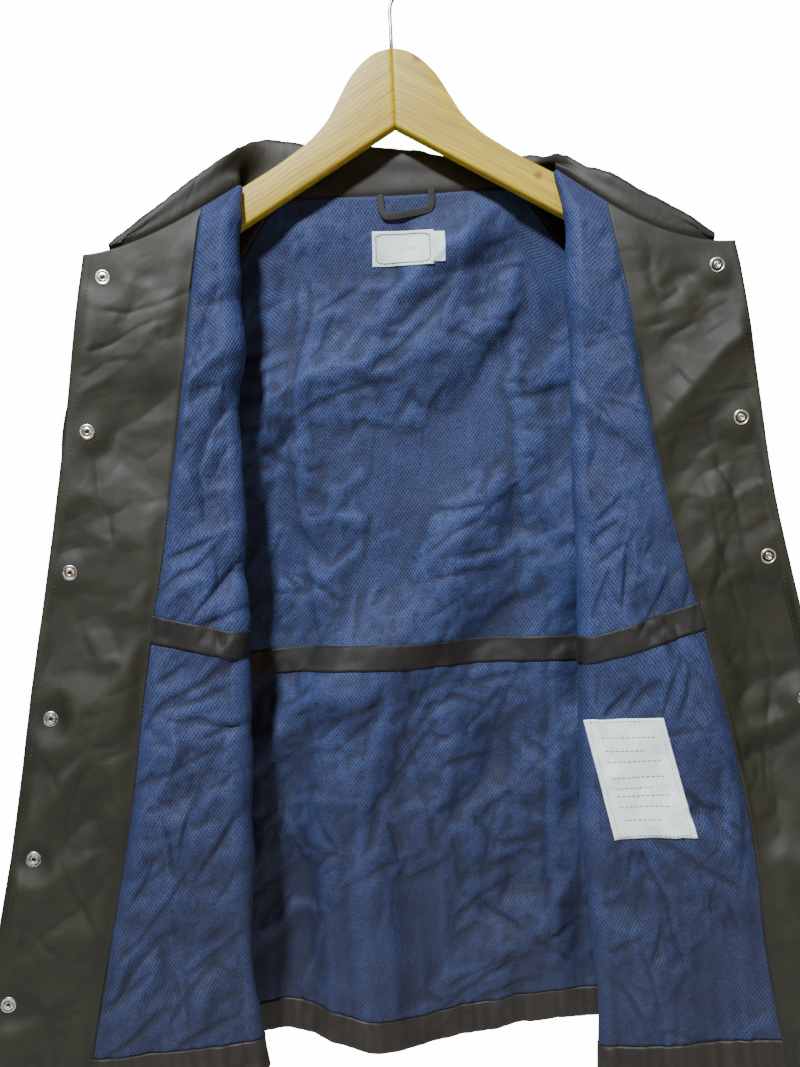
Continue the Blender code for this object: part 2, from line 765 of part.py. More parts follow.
def make_hanger():
    shape = bmesh.new()
    bmesh.ops.create_cone(
        shape,
        cap_ends=True,
        segments=16,
        radius1=(WIRE_RADIUS + 0.35) * MM,
        radius2=(WIRE_RADIUS + 0.35) * MM,
        depth=40 * MM,
        matrix=Matrix.Translation((0, 0, (STEM_FOOT + 19) * MM)),
    )
    mesh = bpy.data.meshes.new("stem_cutter")
    shape.to_mesh(mesh)
    shape.free()
    cutter = add_object("stem_cutter", mesh, "metal", CUTTERS)
    cutter.hide_render = True
    cutter.display_type = "WIRE"
    make_arm("left", -1, cutter)
    make_arm("right", 1, cutter)
    path = [(0, STEM_FOOT), (0, -80), (0, -58), (0.5, -53), (2.2, -48.6), (5.4, -44.2), (9.6, -39.4)]
    for degrees in range(-48, 206, 14):
        angle = math.radians(degrees)
        path.append(
            (HOOK_RADIUS * math.cos(angle), HOOK_CENTRE_Z + HOOK_RADIUS * math.sin(angle))
        )
    curve = bpy.data.curves.new("hanger_hook", "CURVE")
    curve.dimensions = "3D"
    curve.bevel_depth = WIRE_RADIUS * MM
    curve.bevel_resolution = 2
    curve.use_fill_caps = True
    spline = curve.splines.new("POLY")
    spline.points.add(len(path) - 1)
    for spot_point, (x, z) in zip(spline.points, path):
        spot_point.co = (x * MM, 0, z * MM, 1)
    add_object("hanger_hook", curve, "wire")


def make_jacket():
    whole, normals, spans = make_panels()
    back = whole[:, spans["back"]]
    panels = {
        "left": whole[:, spans["left"]][:, ::-1],
        "right": whole[:, spans["right"]],
    }
    sleeves = {side: make_sleeve(side, back, panels[side]) for side in FRONTS}
    make_collar(neck_path(back, panels, sleeves))
    back_out = normals[:, spans["back"]]
    gap = SEAM_GAP + LINING_WALL + TRIM_GAP
    patch(
        "neck_label",
        back,
        back_out,
        [(-23.5, -238), (28, -238.5), (27.5, -269.5), (-24, -268.5)],
        (2, 3),
        "label",
        gap,
    )
    patch(
        "size_tab",
        back,
        back_out,
        [(28.8, -240.5), (38, -241), (38, -266.5), (28.4, -266)],
        (2, 1),
        "tab",
        gap,
    )
    make_hang_loop(back, back_out)
    right = whole[:, spans["right"]][:, 9:13]
    right_out = normals[:, spans["right"]][:, 9:13]
    patch(
        "care_patch",
        right,
        right_out,
        [(137, -660), (199, -661), (215, -757), (150, -755)],
        (4, 3),
        "tab",
        gap,
    )
    make_snaps(whole, normals, spans)


clear_scene()
JACKET = collection_named("coach_jacket")
CUTTERS = collection_named("cutters", hidden=True)
make_hanger()
make_jacket()
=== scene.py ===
import math

import bpy
import numpy as np
from mathutils import Matrix, Vector


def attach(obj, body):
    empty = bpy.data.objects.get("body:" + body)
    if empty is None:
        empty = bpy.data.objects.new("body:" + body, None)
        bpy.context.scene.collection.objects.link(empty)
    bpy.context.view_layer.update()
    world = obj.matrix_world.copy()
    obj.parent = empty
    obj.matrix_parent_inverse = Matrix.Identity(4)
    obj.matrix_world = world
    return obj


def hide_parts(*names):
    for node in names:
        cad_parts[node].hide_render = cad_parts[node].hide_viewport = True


# A coach jacket hung open on a wooden hanger. Tables are in millimetres, in the frame of the packed
# model: the origin is inside the hook, X to the right, Y back, Z up.
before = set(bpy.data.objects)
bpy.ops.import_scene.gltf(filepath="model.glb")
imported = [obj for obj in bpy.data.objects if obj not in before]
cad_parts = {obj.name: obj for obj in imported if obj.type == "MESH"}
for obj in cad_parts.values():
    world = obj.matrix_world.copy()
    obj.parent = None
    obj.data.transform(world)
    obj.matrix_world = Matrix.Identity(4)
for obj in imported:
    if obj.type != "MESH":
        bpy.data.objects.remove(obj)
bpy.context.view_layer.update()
mm = 0.001

body = {
    "levels": [-205, -245, -300, -390, -480, -600, -740, -860, -950],
    "backY": [16, 22, 30, 38, 44, 50, 56, 60, 62],
    "ridge": [0, 0, 0, 2, 4, 10, 20, 30, 37],
    "ridgeX": -62,
    "ridgeWidth": 45,
    "sideX": [285, 285, 285, 286, 286, 280, 264, 248, 240],
    "sideY": [14, 16, 18, 20, 22, 22, 22, 24, 26],
    "sideRadius": 12,
    "seamTurn": 50,
    "foldLevels": [-205, -228, -245, -300, -390, -480, -600, -740, -860, -950],
    "foldY": [-9, -15, -17, -17, -17, -17, -17, -17, -17, -17],
    "foldRadius": [4, 6.5, 8, 8, 8, 8, 8, 8, 8, 8],
    "shares": [0, 0.126, 0.25, 0.377, 0.5, 0.625, 0.75, 0.875, 1],
    "neckTops": [-208, -207.6, -206.8, -206],
    "backTops": [-206, -253, -303, -352, -400, -449, -468, -482],
    "frontTops": [-203, -222, -250, -305, -375, -440, -465, -482],
    "tapeBack": -596,
    "tapeSide": -606,
    "tapeHeight": 22,
    "hemBack": -952,
    "hemSide": -948,
    "casingHeight": 26,
    "hemAt": [-1.01, -0.52, -0.38, -0.12, 0.12, 0.4, 0.52, 1.01],
    "hemRise": [0, 9, 5, -4, -2, 4, 6, 0],
    "edgeTrim": 1.6,
    "facingWidth": 90,
    "snapInset": 18,
    "neckStart": 133,
    "neckHeight": -203,
    "neckGuess": -230.0,
    "neckSteps": 12,
}
fronts = {
    "left": {
        "sign": -1,
        "foldX": [131, 139, 140, 142, 143, 146, 152, 152, 144],
        "edgeX": [250, 255, 264, 277, 292, 314, 337, 363, 382],
        "edgeY": [-34, -36, -38, -38, -38, -38, -40, -42, -44],
        "facing": [90, 90, 90, 90, 90, 90, 90, 90, 90],
        "collarEnd": 20,
        "neckX": 258,
        "neckDrop": 59,
        "neckPower": 1.6,
        "tape": (-572, -556, -545),
        "hem": (-934, -937, -940),
        "snaps": (-281, -405, -518, -635, -747, -862),
    },
    "right": {
        "sign": 1,
        "foldX": [131, 138, 137, 136, 134, 132, 127, 133, 132],
        "edgeX": [262, 264, 273, 282, 291, 313, 342, 356, 370],
        "edgeY": [-36, -36, -38, -38, -38, -38, -40, -42, -44],
        "facing": [94, 93, 92, 90, 84, 79, 82, 86, 88],
        "collarEnd": 15,
        "neckX": 268,
        "neckDrop": 73,
        "neckPower": 1.9,
        "tape": (-591, -567, -555),
        "hem": (-955, -949, -943),
        "snaps": (-295, -419, -532, -648, -764, -880),
    },
}
sleeve = {
    "ridge": [
        (134, 1, -198.6),
        (152, 1, -210.5),
        (176, 1, -225),
        (200, 1, -239.3),
        (223, 2, -252.8),
    ],
    # row of the seam, centre, up, back, angles of the back and front ends, how fast the ends leave
    "underarm": [
        (5, (267, 30, -385), (-4, -12, 84), (-4, 40, 0), 140, 140, 3),
        (6, (267, 52, -432), (14, -14, 56), (-20, 44, -10), 200, 130, 5),
        (7, (256, 86, -476), (64, -10, 6), (0, 41, 0), 285, 75, 16),
    ],
    "point": (284.8, 34.8, -482),
    # height, centre x, centre y, half width, half depth
    "tube": [
        (-512, 246, 89, 74, 39),
        (-570, 244, 92, 75, 37),
        (-630, 244, 93, 73, 36),
        (-700, 246, 93, 69, 34),
        (-770, 248, 92, 63, 32),
        (-830, 250, 90, 56, 30),
        (-862, 251, 88, 48, 27),
        (-875, 252, 88, 44, 26),
    ],
    "tubeTurn": 285,
    "power": 0.56,
    "bulge": [0, 0, 2, 9, 15],
    "frontStand": (1.7, 0.4, 1.4),
    "rearStand": (0.8, 3.0, 0.4),
    "neckStand": (0.9, 0, 0.4),
}
collar = {
    "rollX": [-243, -235, -217, -195, -168, -149, -132, -121, -96, -75, -55, -28, 0]
    + [34, 60, 93, 110, 131, 143, 161, 182, 200, 219, 241, 255],
    "rollZ": [-259, -253, -239, -221, -199, -184, -170, -162, -160, -160, -162, -165, -168]
    + [-173, -179, -184, -186, -189, -194, -205, -219, -229, -238, -257, -272],
    "leastRoll": 3.6,
    "leafX": [-242, -228, -200, -172, -150, -131, -103, -60, 0, 60, 103, 131]
    + [150, 172, 200, 228, 242],
    "leafOut": [-6, -10, -14, -22, -36, -38, -16, -5, 0, 5, 12, 24, 28, 20, 14, 10, 6],
    "leafBack": [9, 9, 7, 2, -4, 3, 14, 16, 16, 16, 14, 4, -2, 2, 7, 9, 9],
    "leafDrop": [-56, -48, -42, -36, -26, -7, -20, -26, -26, -26, -18, -6]
    + [-24, -34, -42, -48, -56],
    "radiusX": [0, 103, 131, 172, 215],
    "radius": [3.5, 3.2, 2.3, 2.4, 3.2],
}
hanger = {
    "top": [
        (0.2, -90),
        (16.5, -95),
        (28, -104),
        (38, -116),
        (47, -131.5),
        (56, -147),
        (68, -160.5),
        (90, -177),
        (131, -201.5),
    ],
    "slope": 30.5,
    "end": 221,
    "endReach": 17,
    "oval": (190, 27, 0.59),
    "notch": -157,
    "underSlope": 0.594,
    "halfDepth": 6,
    "corner": 3.0,
    "steps": (150, 26),
    "wireRadius": 1.6,
    "wireSides": 20,
    "stem": [(0, -80), (0, -58), (0.5, -53), (2.2, -48.6), (5.4, -44.2), (9.6, -39.4)],
    "hookCentre": -19.1,
    "hookRadius": 20.7,
    "stemFoot": -106,
}


def eased(at, places, values):
    # Cubic Hermite curve through a table, its slopes from the neighbours, level past the ends.
    places = np.asarray(places, float)
    values = np.asarray(values, float)
    if places[0] > places[-1]:
        places, values = places[::-1], values[::-1]
    slopes = np.gradient(values, places, axis=0)
    at = np.clip(np.asarray(at, float), places[0], places[-1])
    i = np.clip(np.searchsorted(places, at) - 1, 0, len(places) - 2)
    step = places[i + 1] - places[i]
    t = (at - places[i]) / step
    if values.ndim > 1:
        t, step = t[..., None], step[..., None]
    return (
        (2 * t**3 - 3 * t**2 + 1) * values[i]
        + (t**3 - 2 * t**2 + t) * step * slopes[i]
        + (3 * t**2 - 2 * t**3) * values[i + 1]
        + (t**3 - t**2) * step * slopes[i + 1]
    )


def level(z, name, table=body):
    # A row of a table, read off at a height.
    return eased(z, body["levels"], table[name])


def smooth(low, high, value):
    # From 0 to 1 between two values, level at both ends: three squares less two cubes.
    t = np.clip((value - low) / (high - low), 0, 1)
    return t * t * (3 - 2 * t)


def unit(vectors):
    # The same directions, one long.
    return vectors / np.maximum(np.linalg.norm(vectors, axis=-1, keepdims=True), 1e-9)


def points(x, y, z):
    # Three arrays of any matching shapes as one array of points.
    return np.stack(np.broadcast_arrays(x, y, z), axis=-1).astype(float)


def backPoint(share, z):
    # y runs from the middle of the back to the side, less a round ridge that stands forward.
    x = share * (level(z, "sideX") - body["sideRadius"])
    ridge = level(z, "ridge") * np.exp(-(((x - body["ridgeX"]) / body["ridgeWidth"]) ** 2))
    w = smooth(0.5, 1.0, np.abs(share))
    y = (1 - w) * (level(z, "backY") - ridge) + w * (level(z, "sideY") + body["sideRadius"])
    return points(x, y, z)


def sidePoint(sign, degrees, z):
    # An arc of the side radius: 90 degrees is the back, -90 the front layer.
    angle = np.radians(degrees)
    radius = body["sideRadius"]
    x = level(z, "sideX") - radius + radius * np.cos(angle)
    return points(sign * x, level(z, "sideY") + radius * np.sin(angle), z)


def foldPoint(front, degrees, z):
    # A half circle: 90 degrees joins the layer behind, -90 the turned flap.
    angle = np.radians(degrees)
    radius = eased(z, body["foldLevels"], body["foldRadius"])
    x = level(z, "foldX", front) + radius * (1 - np.cos(angle))
    y = eased(z, body["foldLevels"], body["foldY"]) + radius * np.sin(angle)
    return points(front["sign"] * x, y, z)


def layerPoint(front, share, z):
    # The layer behind: a straight line from the side, share 0, to the fold, share 1.
    start = sidePoint(front["sign"], -90, z)
    return start + (foldPoint(front, 90, z) - start) * np.asarray(share)[..., None]


def facingPoint(front, share, z):
    # From the front edge, share 0, towards the fold by the facing's width, share 1.
    fold = foldPoint(front, -90, z)
    edge = points(front["sign"] * level(z, "edgeX", front), level(z, "edgeY", front), z)
    width = np.asarray(share * level(z, "facing", front))[..., None]
    return edge + unit(fold - edge) * width


def flapPoint(front, share, z):
    # The turned flap: a straight line from the fold, share 0, to the facing, share 1.
    fold = foldPoint(front, -90, z)
    return fold + np.asarray(share)[..., None] * (facingPoint(front, 1, z) - fold)


def frontPoint(front, column, z):
    # Columns run from the side seam 0, side 2, fold 5 to 9 and facing seam 12 to the edge 15.
    wide, collarEnd = body["facingWidth"], front["collarEnd"]
    turn = np.interp(column, [0, 1, 2], [body["seamTurn"], -20, -90])
    side = sidePoint(front["sign"], turn, z)
    layer = layerPoint(front, np.interp(column, [2, 3, 4, 5], [0, 0.33, 0.67, 1]), z)
    fold = foldPoint(front, np.interp(column, [5, 9], [90, -90]), z)
    flap = flapPoint(front, np.interp(column, [9, 10, 11, 12], [0, 0.33, 0.67, 1]), z)
    shares = [1, 0.5 * (wide + collarEnd) / wide, collarEnd / wide, 0]
    facing = facingPoint(front, np.interp(column, [12, 13, 14, 15], shares), z)
    at = np.broadcast_to(column, side.shape[:-1])[..., None]
    return np.select([at < 2, at < 5, at < 9, at < 12], [side, layer, fold, flap], facing)


def frontTop(front, column):
    # The raglan seam up to column 7, then the neckline, settled by a few steps.
    raglan = eased(column, np.arange(8), body["frontTops"][::-1])
    z = np.full(len(column), body["neckGuess"])
    start = body["neckStart"]
    for _ in range(body["neckSteps"]):
        x = np.abs(frontPoint(front, column, z)[..., 0])
        reach = np.clip((x - start) / (front["neckX"] - start), 0, 1)
        z = body["neckHeight"] - front["neckDrop"] * (1 - (1 - reach) ** front["neckPower"])
    return np.where(column <= 7, raglan, z)


def rowHeights(top, tape, hem, rows):
    # Rows 0 to 6 reach the tape, 7 its lower edge, 11 the casing and 12 the hem.
    stops = np.stack([top, tape, tape - body["tapeHeight"], hem + body["casingHeight"], hem])
    weights = np.stack([np.interp(rows, [0, 6, 7, 11, 12], e) for e in np.eye(5)], axis=1)
    return weights @ stops


tapePlaces = [0, 0, 0, 0.33, 0.67, 1, 1, 1, 1, 1, 1.33, 1.67, 2, 2.5, 2.8, 3]


def frontSurface(side, columns, rows, trim=0.0):
    # A front over its columns and rows: heights from its top to its hem, then its point there.
    front = fronts[side]
    columns = np.asarray(columns, float)
    places = np.interp(columns, np.arange(16), tapePlaces)
    tape = np.interp(places, range(4), [body["tapeSide"], *front["tape"]])
    hem = np.interp(places, range(4), [body["hemSide"], *front["hem"]])
    top = frontTop(front, columns) - trim * (columns < 7)
    z = rowHeights(top, tape, hem, rows)
    return frontPoint(front, columns[None, :] + 0 * z, z)


def backSurface(columns, rows, trim=0.0):
    # Columns run from -10 at the left side seam to 10 at the right one.
    columns = np.asarray(columns, float)
    half = np.abs(columns)
    neck = eased(half, np.arange(4), body["neckTops"])
    raglan = eased(half, np.arange(3, 11), body["backTops"])
    top = np.where(half <= 3, neck, raglan) - trim * (half > 3.01)
    share = np.interp(half, np.arange(9), body["shares"])
    tape = body["tapeBack"] + (body["tapeSide"] - body["tapeBack"]) * smooth(0.4, 1, share)
    hem = body["hemBack"] + (body["hemSide"] - body["hemBack"]) * share
    hem = hem + eased(np.sign(columns) * share, body["hemAt"], body["hemRise"])
    z = rowHeights(top, tape, hem, rows)
    sign = np.sign(columns)[None, :] + 0 * z
    degrees = np.interp(half, [8, 9, 10], [90, 72, body["seamTurn"]])[None, :] + 0 * z
    flat = backPoint(np.sign(columns) * share + 0 * z, z)
    turned = sidePoint(sign, degrees, z)
    return np.where((half > 8)[None, :, None], turned, flat)


def normalsOf(grid, closedFrom=None):
    # Across by down at each point, one long; the ends of a closed row share theirs.
    down = np.gradient(grid, axis=0)
    across = np.gradient(grid, axis=1)
    normals = unit(np.cross(unit(across), unit(down)))
    if closedFrom is not None:
        both = normals[closedFrom:, 0] + normals[closedFrom:, -1]
        normals[closedFrom:, 0] = normals[closedFrom:, -1] = unit(both)
    return normals


def threadsOf(grid, column):
    # Lengths across each row from one straight column, and down it, so that threads stay straight.
    across = np.linalg.norm(np.diff(grid, axis=1), axis=-1)
    across = np.concatenate([np.zeros((len(grid), 1)), np.cumsum(across, axis=1)], axis=1)
    across = across - across[:, column, None]
    down = np.linalg.norm(np.diff(grid[:, column], axis=0), axis=-1)
    down = np.concatenate([[0], np.cumsum(down)])
    return across, down[:, None] + 0 * across


def refined(grid, rows, columns):
    # A finer grid through a coarse one: cubic along mean chord lengths, first down, then across.
    for axis, count in ((0, rows), (1, columns)):
        steps = np.linalg.norm(np.diff(grid, axis=axis), axis=-1).mean(axis=1 - axis)
        places = np.concatenate([[0], np.cumsum(steps)])
        at = np.linspace(0, places[-1], count)
        moved = np.moveaxis(grid, axis, 0)
        fine = eased(at, places, moved.reshape(len(places), -1))
        grid = np.moveaxis(fine.reshape(count, *moved.shape[1:]), 0, axis)
    return grid


def spaced(stops, counts):
    # Column numbers with their own count of steps between each pair of stops.
    parts = [np.linspace(a, b, n, endpoint=False) for a, b, n in zip(stops, stops[1:], counts)]
    return np.concatenate([*parts, [stops[-1]]])


lattice = 64  # corners each way, after which noise and facets repeat


def noise(x, y, seed):
    # Gradient noise: each lattice corner has a random direction, blended by a quintic step.
    angles = np.random.default_rng(seed).uniform(0, 2 * math.pi, (lattice, lattice))
    left, low = np.floor(x).astype(int), np.floor(y).astype(int)
    u, v = x - left, y - low
    su, sv = (t**3 * (t * (6 * t - 15) + 10) for t in (u, v))

    def corner(i, j):
        angle = angles[(left + i) % lattice, (low + j) % lattice]
        return np.cos(angle) * (u - i) + np.sin(angle) * (v - j)

    near = corner(0, 0) * (1 - su) + corner(1, 0) * su
    far = corner(0, 1) * (1 - su) + corner(1, 1) * su
    return near * (1 - sv) + far * sv


def crumple(x, y, size, seed, lean=0.0, stretch=1.6):
    # Creased cloth: warped noise, folded at zero so that it leaves sharp lines, which fade away.
    turn = math.radians(lean)
    along = (x * math.cos(turn) + y * math.sin(turn)) / (size * stretch)
    across = (y * math.cos(turn) - x * math.sin(turn)) / size
    bend = 0.45 * noise(along * 0.7 + 5, across * 0.7, seed + 1)
    first = noise(along + bend, across - bend, seed + 2)
    second = noise(along * 1.3 - bend + 9, across * 1.3 + bend, seed + 3)
    ridges = 0.35 - np.sqrt(first**2 + 0.0009)
    valleys = 0.35 - np.sqrt(second**2 + 0.0009)
    fade = smooth(-0.25, 0.35, noise(x / (size * 2.2), y / (size * 2.2) + 3, seed + 4))
    return (ridges - 0.8 * valleys) * (0.35 + 0.65 * fade)


# How far the lines between facets bend and waver, at which scales, and from where in the noise.
facetLook = {
    "bend": (0.75, 0.8),
    "waver": (0.12, 2.6),
    "from": (((0, 3), (0, 0)), ((9, 0), (0, 5))),
}


def facets(x, z, size, seed, lean=0.0, stretch=1.7):
    # Crumpled cloth: flat facets about one size across, which meet at sharp, nearly straight lines.
    # Each cell of a bent lattice is halved along one of its diagonals, and is flat on either side.
    turn = math.radians(lean)
    along = (x * math.cos(turn) + z * math.sin(turn)) / (size * stretch)
    across = (z * math.cos(turn) - x * math.sin(turn)) / size
    bent = [along, across]
    for k, starts in enumerate(facetLook["from"]):
        for step, (name, (a, b)) in enumerate(zip(("bend", "waver"), starts)):
            far, scale = facetLook[name]
            own = noise(along * scale + a, across * scale + b, seed + 1 + k + 2 * step)
            bent[k] = bent[k] + far * own
    along, across = bent
    chance = np.random.default_rng(seed)
    tops = chance.uniform(-0.5, 0.5, (lattice, lattice))
    ways = chance.integers(0, 2, (lattice, lattice))
    left, low = np.floor(along).astype(int), np.floor(across).astype(int)
    u, v = along - left, across - low
    way = ways[left % lattice, low % lattice] == 1
    u = np.where(way, 1 - u, u)

    def top(i, j):
        return tops[(left + np.where(way, 1 - i, i)) % lattice, (low + j) % lattice]

    near = top(0, 0) + u * (top(1, 0) - top(0, 0)) + v * (top(1, 1) - top(1, 0))
    far = top(0, 0) + v * (top(0, 1) - top(0, 0)) + u * (top(1, 1) - top(0, 1))
    return size * np.where(u > v, near, far)


def crumpled(x, z, rows):
    # Each row gives facets their size, steepness, seed, lean and stretch.
    return sum(steep * facets(x, z, size, *looks) for size, steep, *looks in rows)


# How far creases bow in turn, how they fade in and out along their length, and their section.
creaseLook = {
    "bows": (0.05, -0.04, 0.02),
    "in": (-0.18, 0.3),
    "out": (1.18, 0.7),
    "slim": (0.5, 0.7),
    "steep": 1.6,
    "round": 0.01,
    "power": 1.6,
}


def tent(across, width, slope):
    # A crease in section: a crisp crest, steep on one side and, by slope, longer on the other.
    s = across / width
    s = np.where(s > 0, s * creaseLook["steep"], s * slope)
    return np.clip(1 - np.sqrt(s * s + creaseLook["round"]) / 2.0, 0, 1) ** creaseLook["power"]


def creased(x, z, rows, tall=1.0, slim=1.0, slope=0.65):
    # Each row is a crease from (x, z) to (x, z), its height and its width. It bows and fades out.
    total = np.zeros_like(x)
    narrow, wider = creaseLook["slim"]
    for number, (x1, z1, x2, z2, height, width) in enumerate(rows):
        dx, dz = x2 - x1, z2 - z1
        length = math.hypot(dx, dz)
        t = ((x - x1) * dx + (z - z1) * dz) / length**2
        across = ((z - z1) * dx - (x - x1) * dz) / length
        bow = creaseLook["bows"][number % 3] * length
        across = across + bow * np.sin(math.pi * np.clip(t, 0, 1))
        ends = smooth(*creaseLook["in"], t) * smooth(*creaseLook["out"], t)
        crest = tent(across, slim * width * (narrow + wider * ends), slope)
        total = total + tall * height * ends * crest
    return total


def strewn(region, count, seed, lean, spread, length, height, width):
    # Chance creases over a region (x, x, z, z), all leaning about the same way.
    chance = np.random.default_rng(seed)
    x = chance.uniform(region[0], region[1], count)
    z = chance.uniform(region[2], region[3], count)
    angle = np.radians(chance.normal(lean, spread, count))
    half = 0.5 * length * chance.uniform(0.5, 1.4, count)
    tall = height * chance.uniform(0.4, 1.3, count)
    wide = width * chance.uniform(0.7, 1.4, count)
    dx, dz = half * np.cos(angle), half * np.sin(angle)
    return np.stack([x - dx, z - dz, x + dx, z + dz, tall, wide], axis=1).tolist()


def meshPiece(name, vertices, faces, material, uvs=None):
    # faces is an array, or a list where the ends of a bar are closed by faces with more corners.
    mesh = bpy.data.meshes.new(name)
    faces = faces if isinstance(faces, list) else faces.tolist()
    mesh.from_pydata((np.asarray(vertices, float) * mm).reshape(-1, 3), [], faces)
    mesh.shade_smooth()
    if uvs is not None:
        corners = np.zeros(len(mesh.loops), np.int32)
        mesh.loops.foreach_get("vertex_index", corners)
        uvs = np.asarray(uvs, np.float32)
        uvs = uvs[corners] if len(uvs) == len(mesh.vertices) else uvs
        mesh.uv_layers.new(name="UVMap").data.foreach_set("uv", uvs.ravel())
    mesh.materials.append(material)
    obj = bpy.data.objects.new(name, mesh)
    bpy.context.scene.collection.objects.link(obj)
    return obj


def gridFaces(rows, columns):
    # Four corners for each cell of a grid.
    index = np.arange(rows * columns).reshape(rows, columns)
    corners = [index[:-1, :-1], index[1:, :-1], index[1:, 1:], index[:-1, 1:]]
    return np.stack(corners, axis=-1).reshape(-1, 4)


def ringFaces(rings, sides):
    # Four corners for each cell between closed rings.
    index = np.arange(rings * sides).reshape(rings, sides)
    after = np.roll(index, -1, axis=1)
    return np.stack([index[:-1], after[:-1], after[1:], index[1:]], axis=-1).reshape(-1, 4)


def foldsOf(grid, passes=3):
    # How far each point stands out from the cloth around it, in millimetres.
    calm = grid
    for _ in range(passes):
        around = calm.copy()
        around[1:-1] = (calm[:-2] + 2 * calm[1:-1] + calm[2:]) / 4
        calm = around.copy()
        calm[:, 1:-1] = (around[:, :-2] + 2 * around[:, 1:-1] + around[:, 2:]) / 4
    return ((grid - calm) * normalsOf(grid)).sum(axis=-1)


def clothPiece(name, grid, material, wall, threads, inward=False, closedFrom=None):
    # A sheet through a grid whose normal is outward, with its wall on one side.
    rows, columns = grid.shape[:2]
    faces = gridFaces(rows, columns)[:, ::-1]
    uvs = np.stack(threads, axis=-1).reshape(-1, 2)[faces.ravel()] * mm
    joined = np.arange(rows * columns).reshape(rows, columns)
    if closedFrom is not None:
        joined[closedFrom:, -1] = joined[closedFrom:, 0]
    faces = joined.ravel()[faces]
    used, compact = np.unique(faces, return_inverse=True)
    obj = meshPiece(name, grid.reshape(-1, 3)[used], compact.reshape(faces.shape), material, uvs)
    # The materials read each point's fold to paint light on crease ridges and shade in their
    # valleys.
    folds = obj.data.attributes.new("fold", "FLOAT", "POINT")
    folds.data.foreach_set("value", foldsOf(grid).ravel()[used].astype(np.float32))
    solid = obj.modifiers.new("wall", "SOLIDIFY")
    solid.thickness = wall * mm
    solid.offset = -1 if inward else 1
    return obj


def barPiece(name, rings, material, uvs=None):
    # Rings joined into a bar, its two ends closed.
    count, sides = rings.shape[:2]
    index = np.arange(count * sides).reshape(count, sides)
    ends = [index[0].tolist()[::-1], index[-1].tolist()]
    faces = ringFaces(count, sides).tolist() + ends
    if turnsIn(rings):
        faces = [face[::-1] for face in faces]
    return meshPiece(name, rings, faces, material, uvs)


def turnsIn(rings):
    # True where the faces between two rings point to the middle instead of outward.
    a, b = rings[len(rings) // 2], rings[len(rings) // 2 + 1]
    normal = np.cross(a[1] - a[0], b[0] - a[0])
    return float(normal @ (a[0] - a.mean(axis=0))) > 0


def tubeRings(path, radius, sides):
    # A circle carried along a path in the XZ plane.
    steps = unit(np.gradient(path, axis=0))
    out = points(-steps[:, 2], 0, steps[:, 0])
    angle = np.linspace(0, 2 * math.pi, sides, endpoint=False)[None, :, None]
    return path[:, None] + radius * (np.cos(angle) * out[:, None] + np.sin(angle) * [0, 1, 0])


# The thread of each kind of stitch, and its length, gap and radius.
stitchLooks = {
    "top": ("topstitch", 2.6, 1.0, 0.3),
    "edge": ("topstitch", 2.6, 1.0, 0.32),
    "tape": ("thread", 2.6, 0.8, 0.3),
    # The facing's seam is drawn as a nearly unbroken dark line: the seam, and also its shadow as
    # painted shade.
    "facingSeam": ("thread", 3.0, 0.1, 0.34),
    "collarSeam": ("thread", 3.0, 0.3, 0.4),
    "border": ("ruling", 2.4, 0.9, 0.26),
    "closeBorder": ("ruling", 2.4, 0.02, 0.5),
    "ruling": ("ruling", 4.0, 0.02, 0.24),
}
stitchSides = 5


def stitchPiece(name, paths, look):
    # Stitches along paths: each is a point, a ring of five at its middle, and a point.
    kind, length, gap, radius = stitchLooks[look]
    starts, ends = [], []
    for path in paths:
        run = np.concatenate([[0], np.cumsum(np.linalg.norm(np.diff(path, axis=0), axis=-1))])
        first = np.arange(0.5, run[-1] - length, length + gap)
        starts.append(np.stack([np.interp(first, run, path[:, k]) for k in range(3)], -1))
        ends.append(np.stack([np.interp(first + length, run, path[:, k]) for k in range(3)], -1))
    a, b = np.concatenate(starts), np.concatenate(ends)
    along = unit(b - a)
    side = unit(np.cross(along, np.array([0.02, 1.0, 0.01])))
    over = np.cross(along, side)
    turn = np.radians(np.arange(0, 360, 360 // stitchSides))[None, :, None]
    ring = radius * (np.cos(turn) * side[:, None] + np.sin(turn) * over[:, None])
    vertices = np.concatenate([a[:, None], (a + b)[:, None] / 2 + ring, b[:, None]], axis=1)
    k = np.arange(stitchSides)
    after, last = 1 + (k + 1) % stitchSides, stitchSides + 1
    one, two = np.stack([0 * k, after, 1 + k], -1), np.stack([0 * k + last, 1 + k, after], -1)
    faces = np.concatenate([one, two])[None] + (last + 1) * np.arange(len(a))[:, None, None]
    return settle(meshPiece(name, vertices, faces.reshape(-1, 3), materials[kind]), "thread")


def linear(code):
    # An sRGB hex value as linear red, green, blue and full alpha.
    values = [int(code[i : i + 2], 16) / 255 for i in (1, 3, 5)]
    return (*(v / 12.92 if v <= 0.04045 else ((v + 0.055) / 1.055) ** 2.4 for v in values), 1)


def node(tree, kind, *values, inputs=None, stops=(), out=0, **properties):
    # Adds a node and gives one of its outputs. Its inputs, in their order or by name, take numbers
    # or other nodes' outputs. Stops are places on a colour ramp, each with a grey or a hex value.
    made = tree.nodes.new("ShaderNode" + kind)
    for key, value in properties.items():
        setattr(made, key, value)
    for key, value in (*enumerate(values), *(inputs or {}).items()):
        if isinstance(value, bpy.types.NodeSocket):
            tree.links.new(value, made.inputs[key])
        else:
            made.inputs[key].default_value = value
    if stops:
        elements = made.color_ramp.elements
        while len(elements) < len(stops):
            elements.new(0.5)
        for element, (place, tone) in zip(elements, stops):
            element.position = place
            element.color = linear(tone) if isinstance(tone, str) else (tone, tone, tone, 1)
    return made.outputs[out] if made.outputs else None


def newMaterial(name, shader):
    # A material of one shader with these settings, its tree, and the shader's inputs.
    material = bpy.data.materials.new(name)
    material.use_nodes = True
    tree = material.node_tree
    tree.nodes.clear()
    surface = node(tree, "BsdfPrincipled", inputs=shader)
    node(tree, "OutputMaterial", inputs={"Surface": surface})
    return material, tree, surface.node.inputs


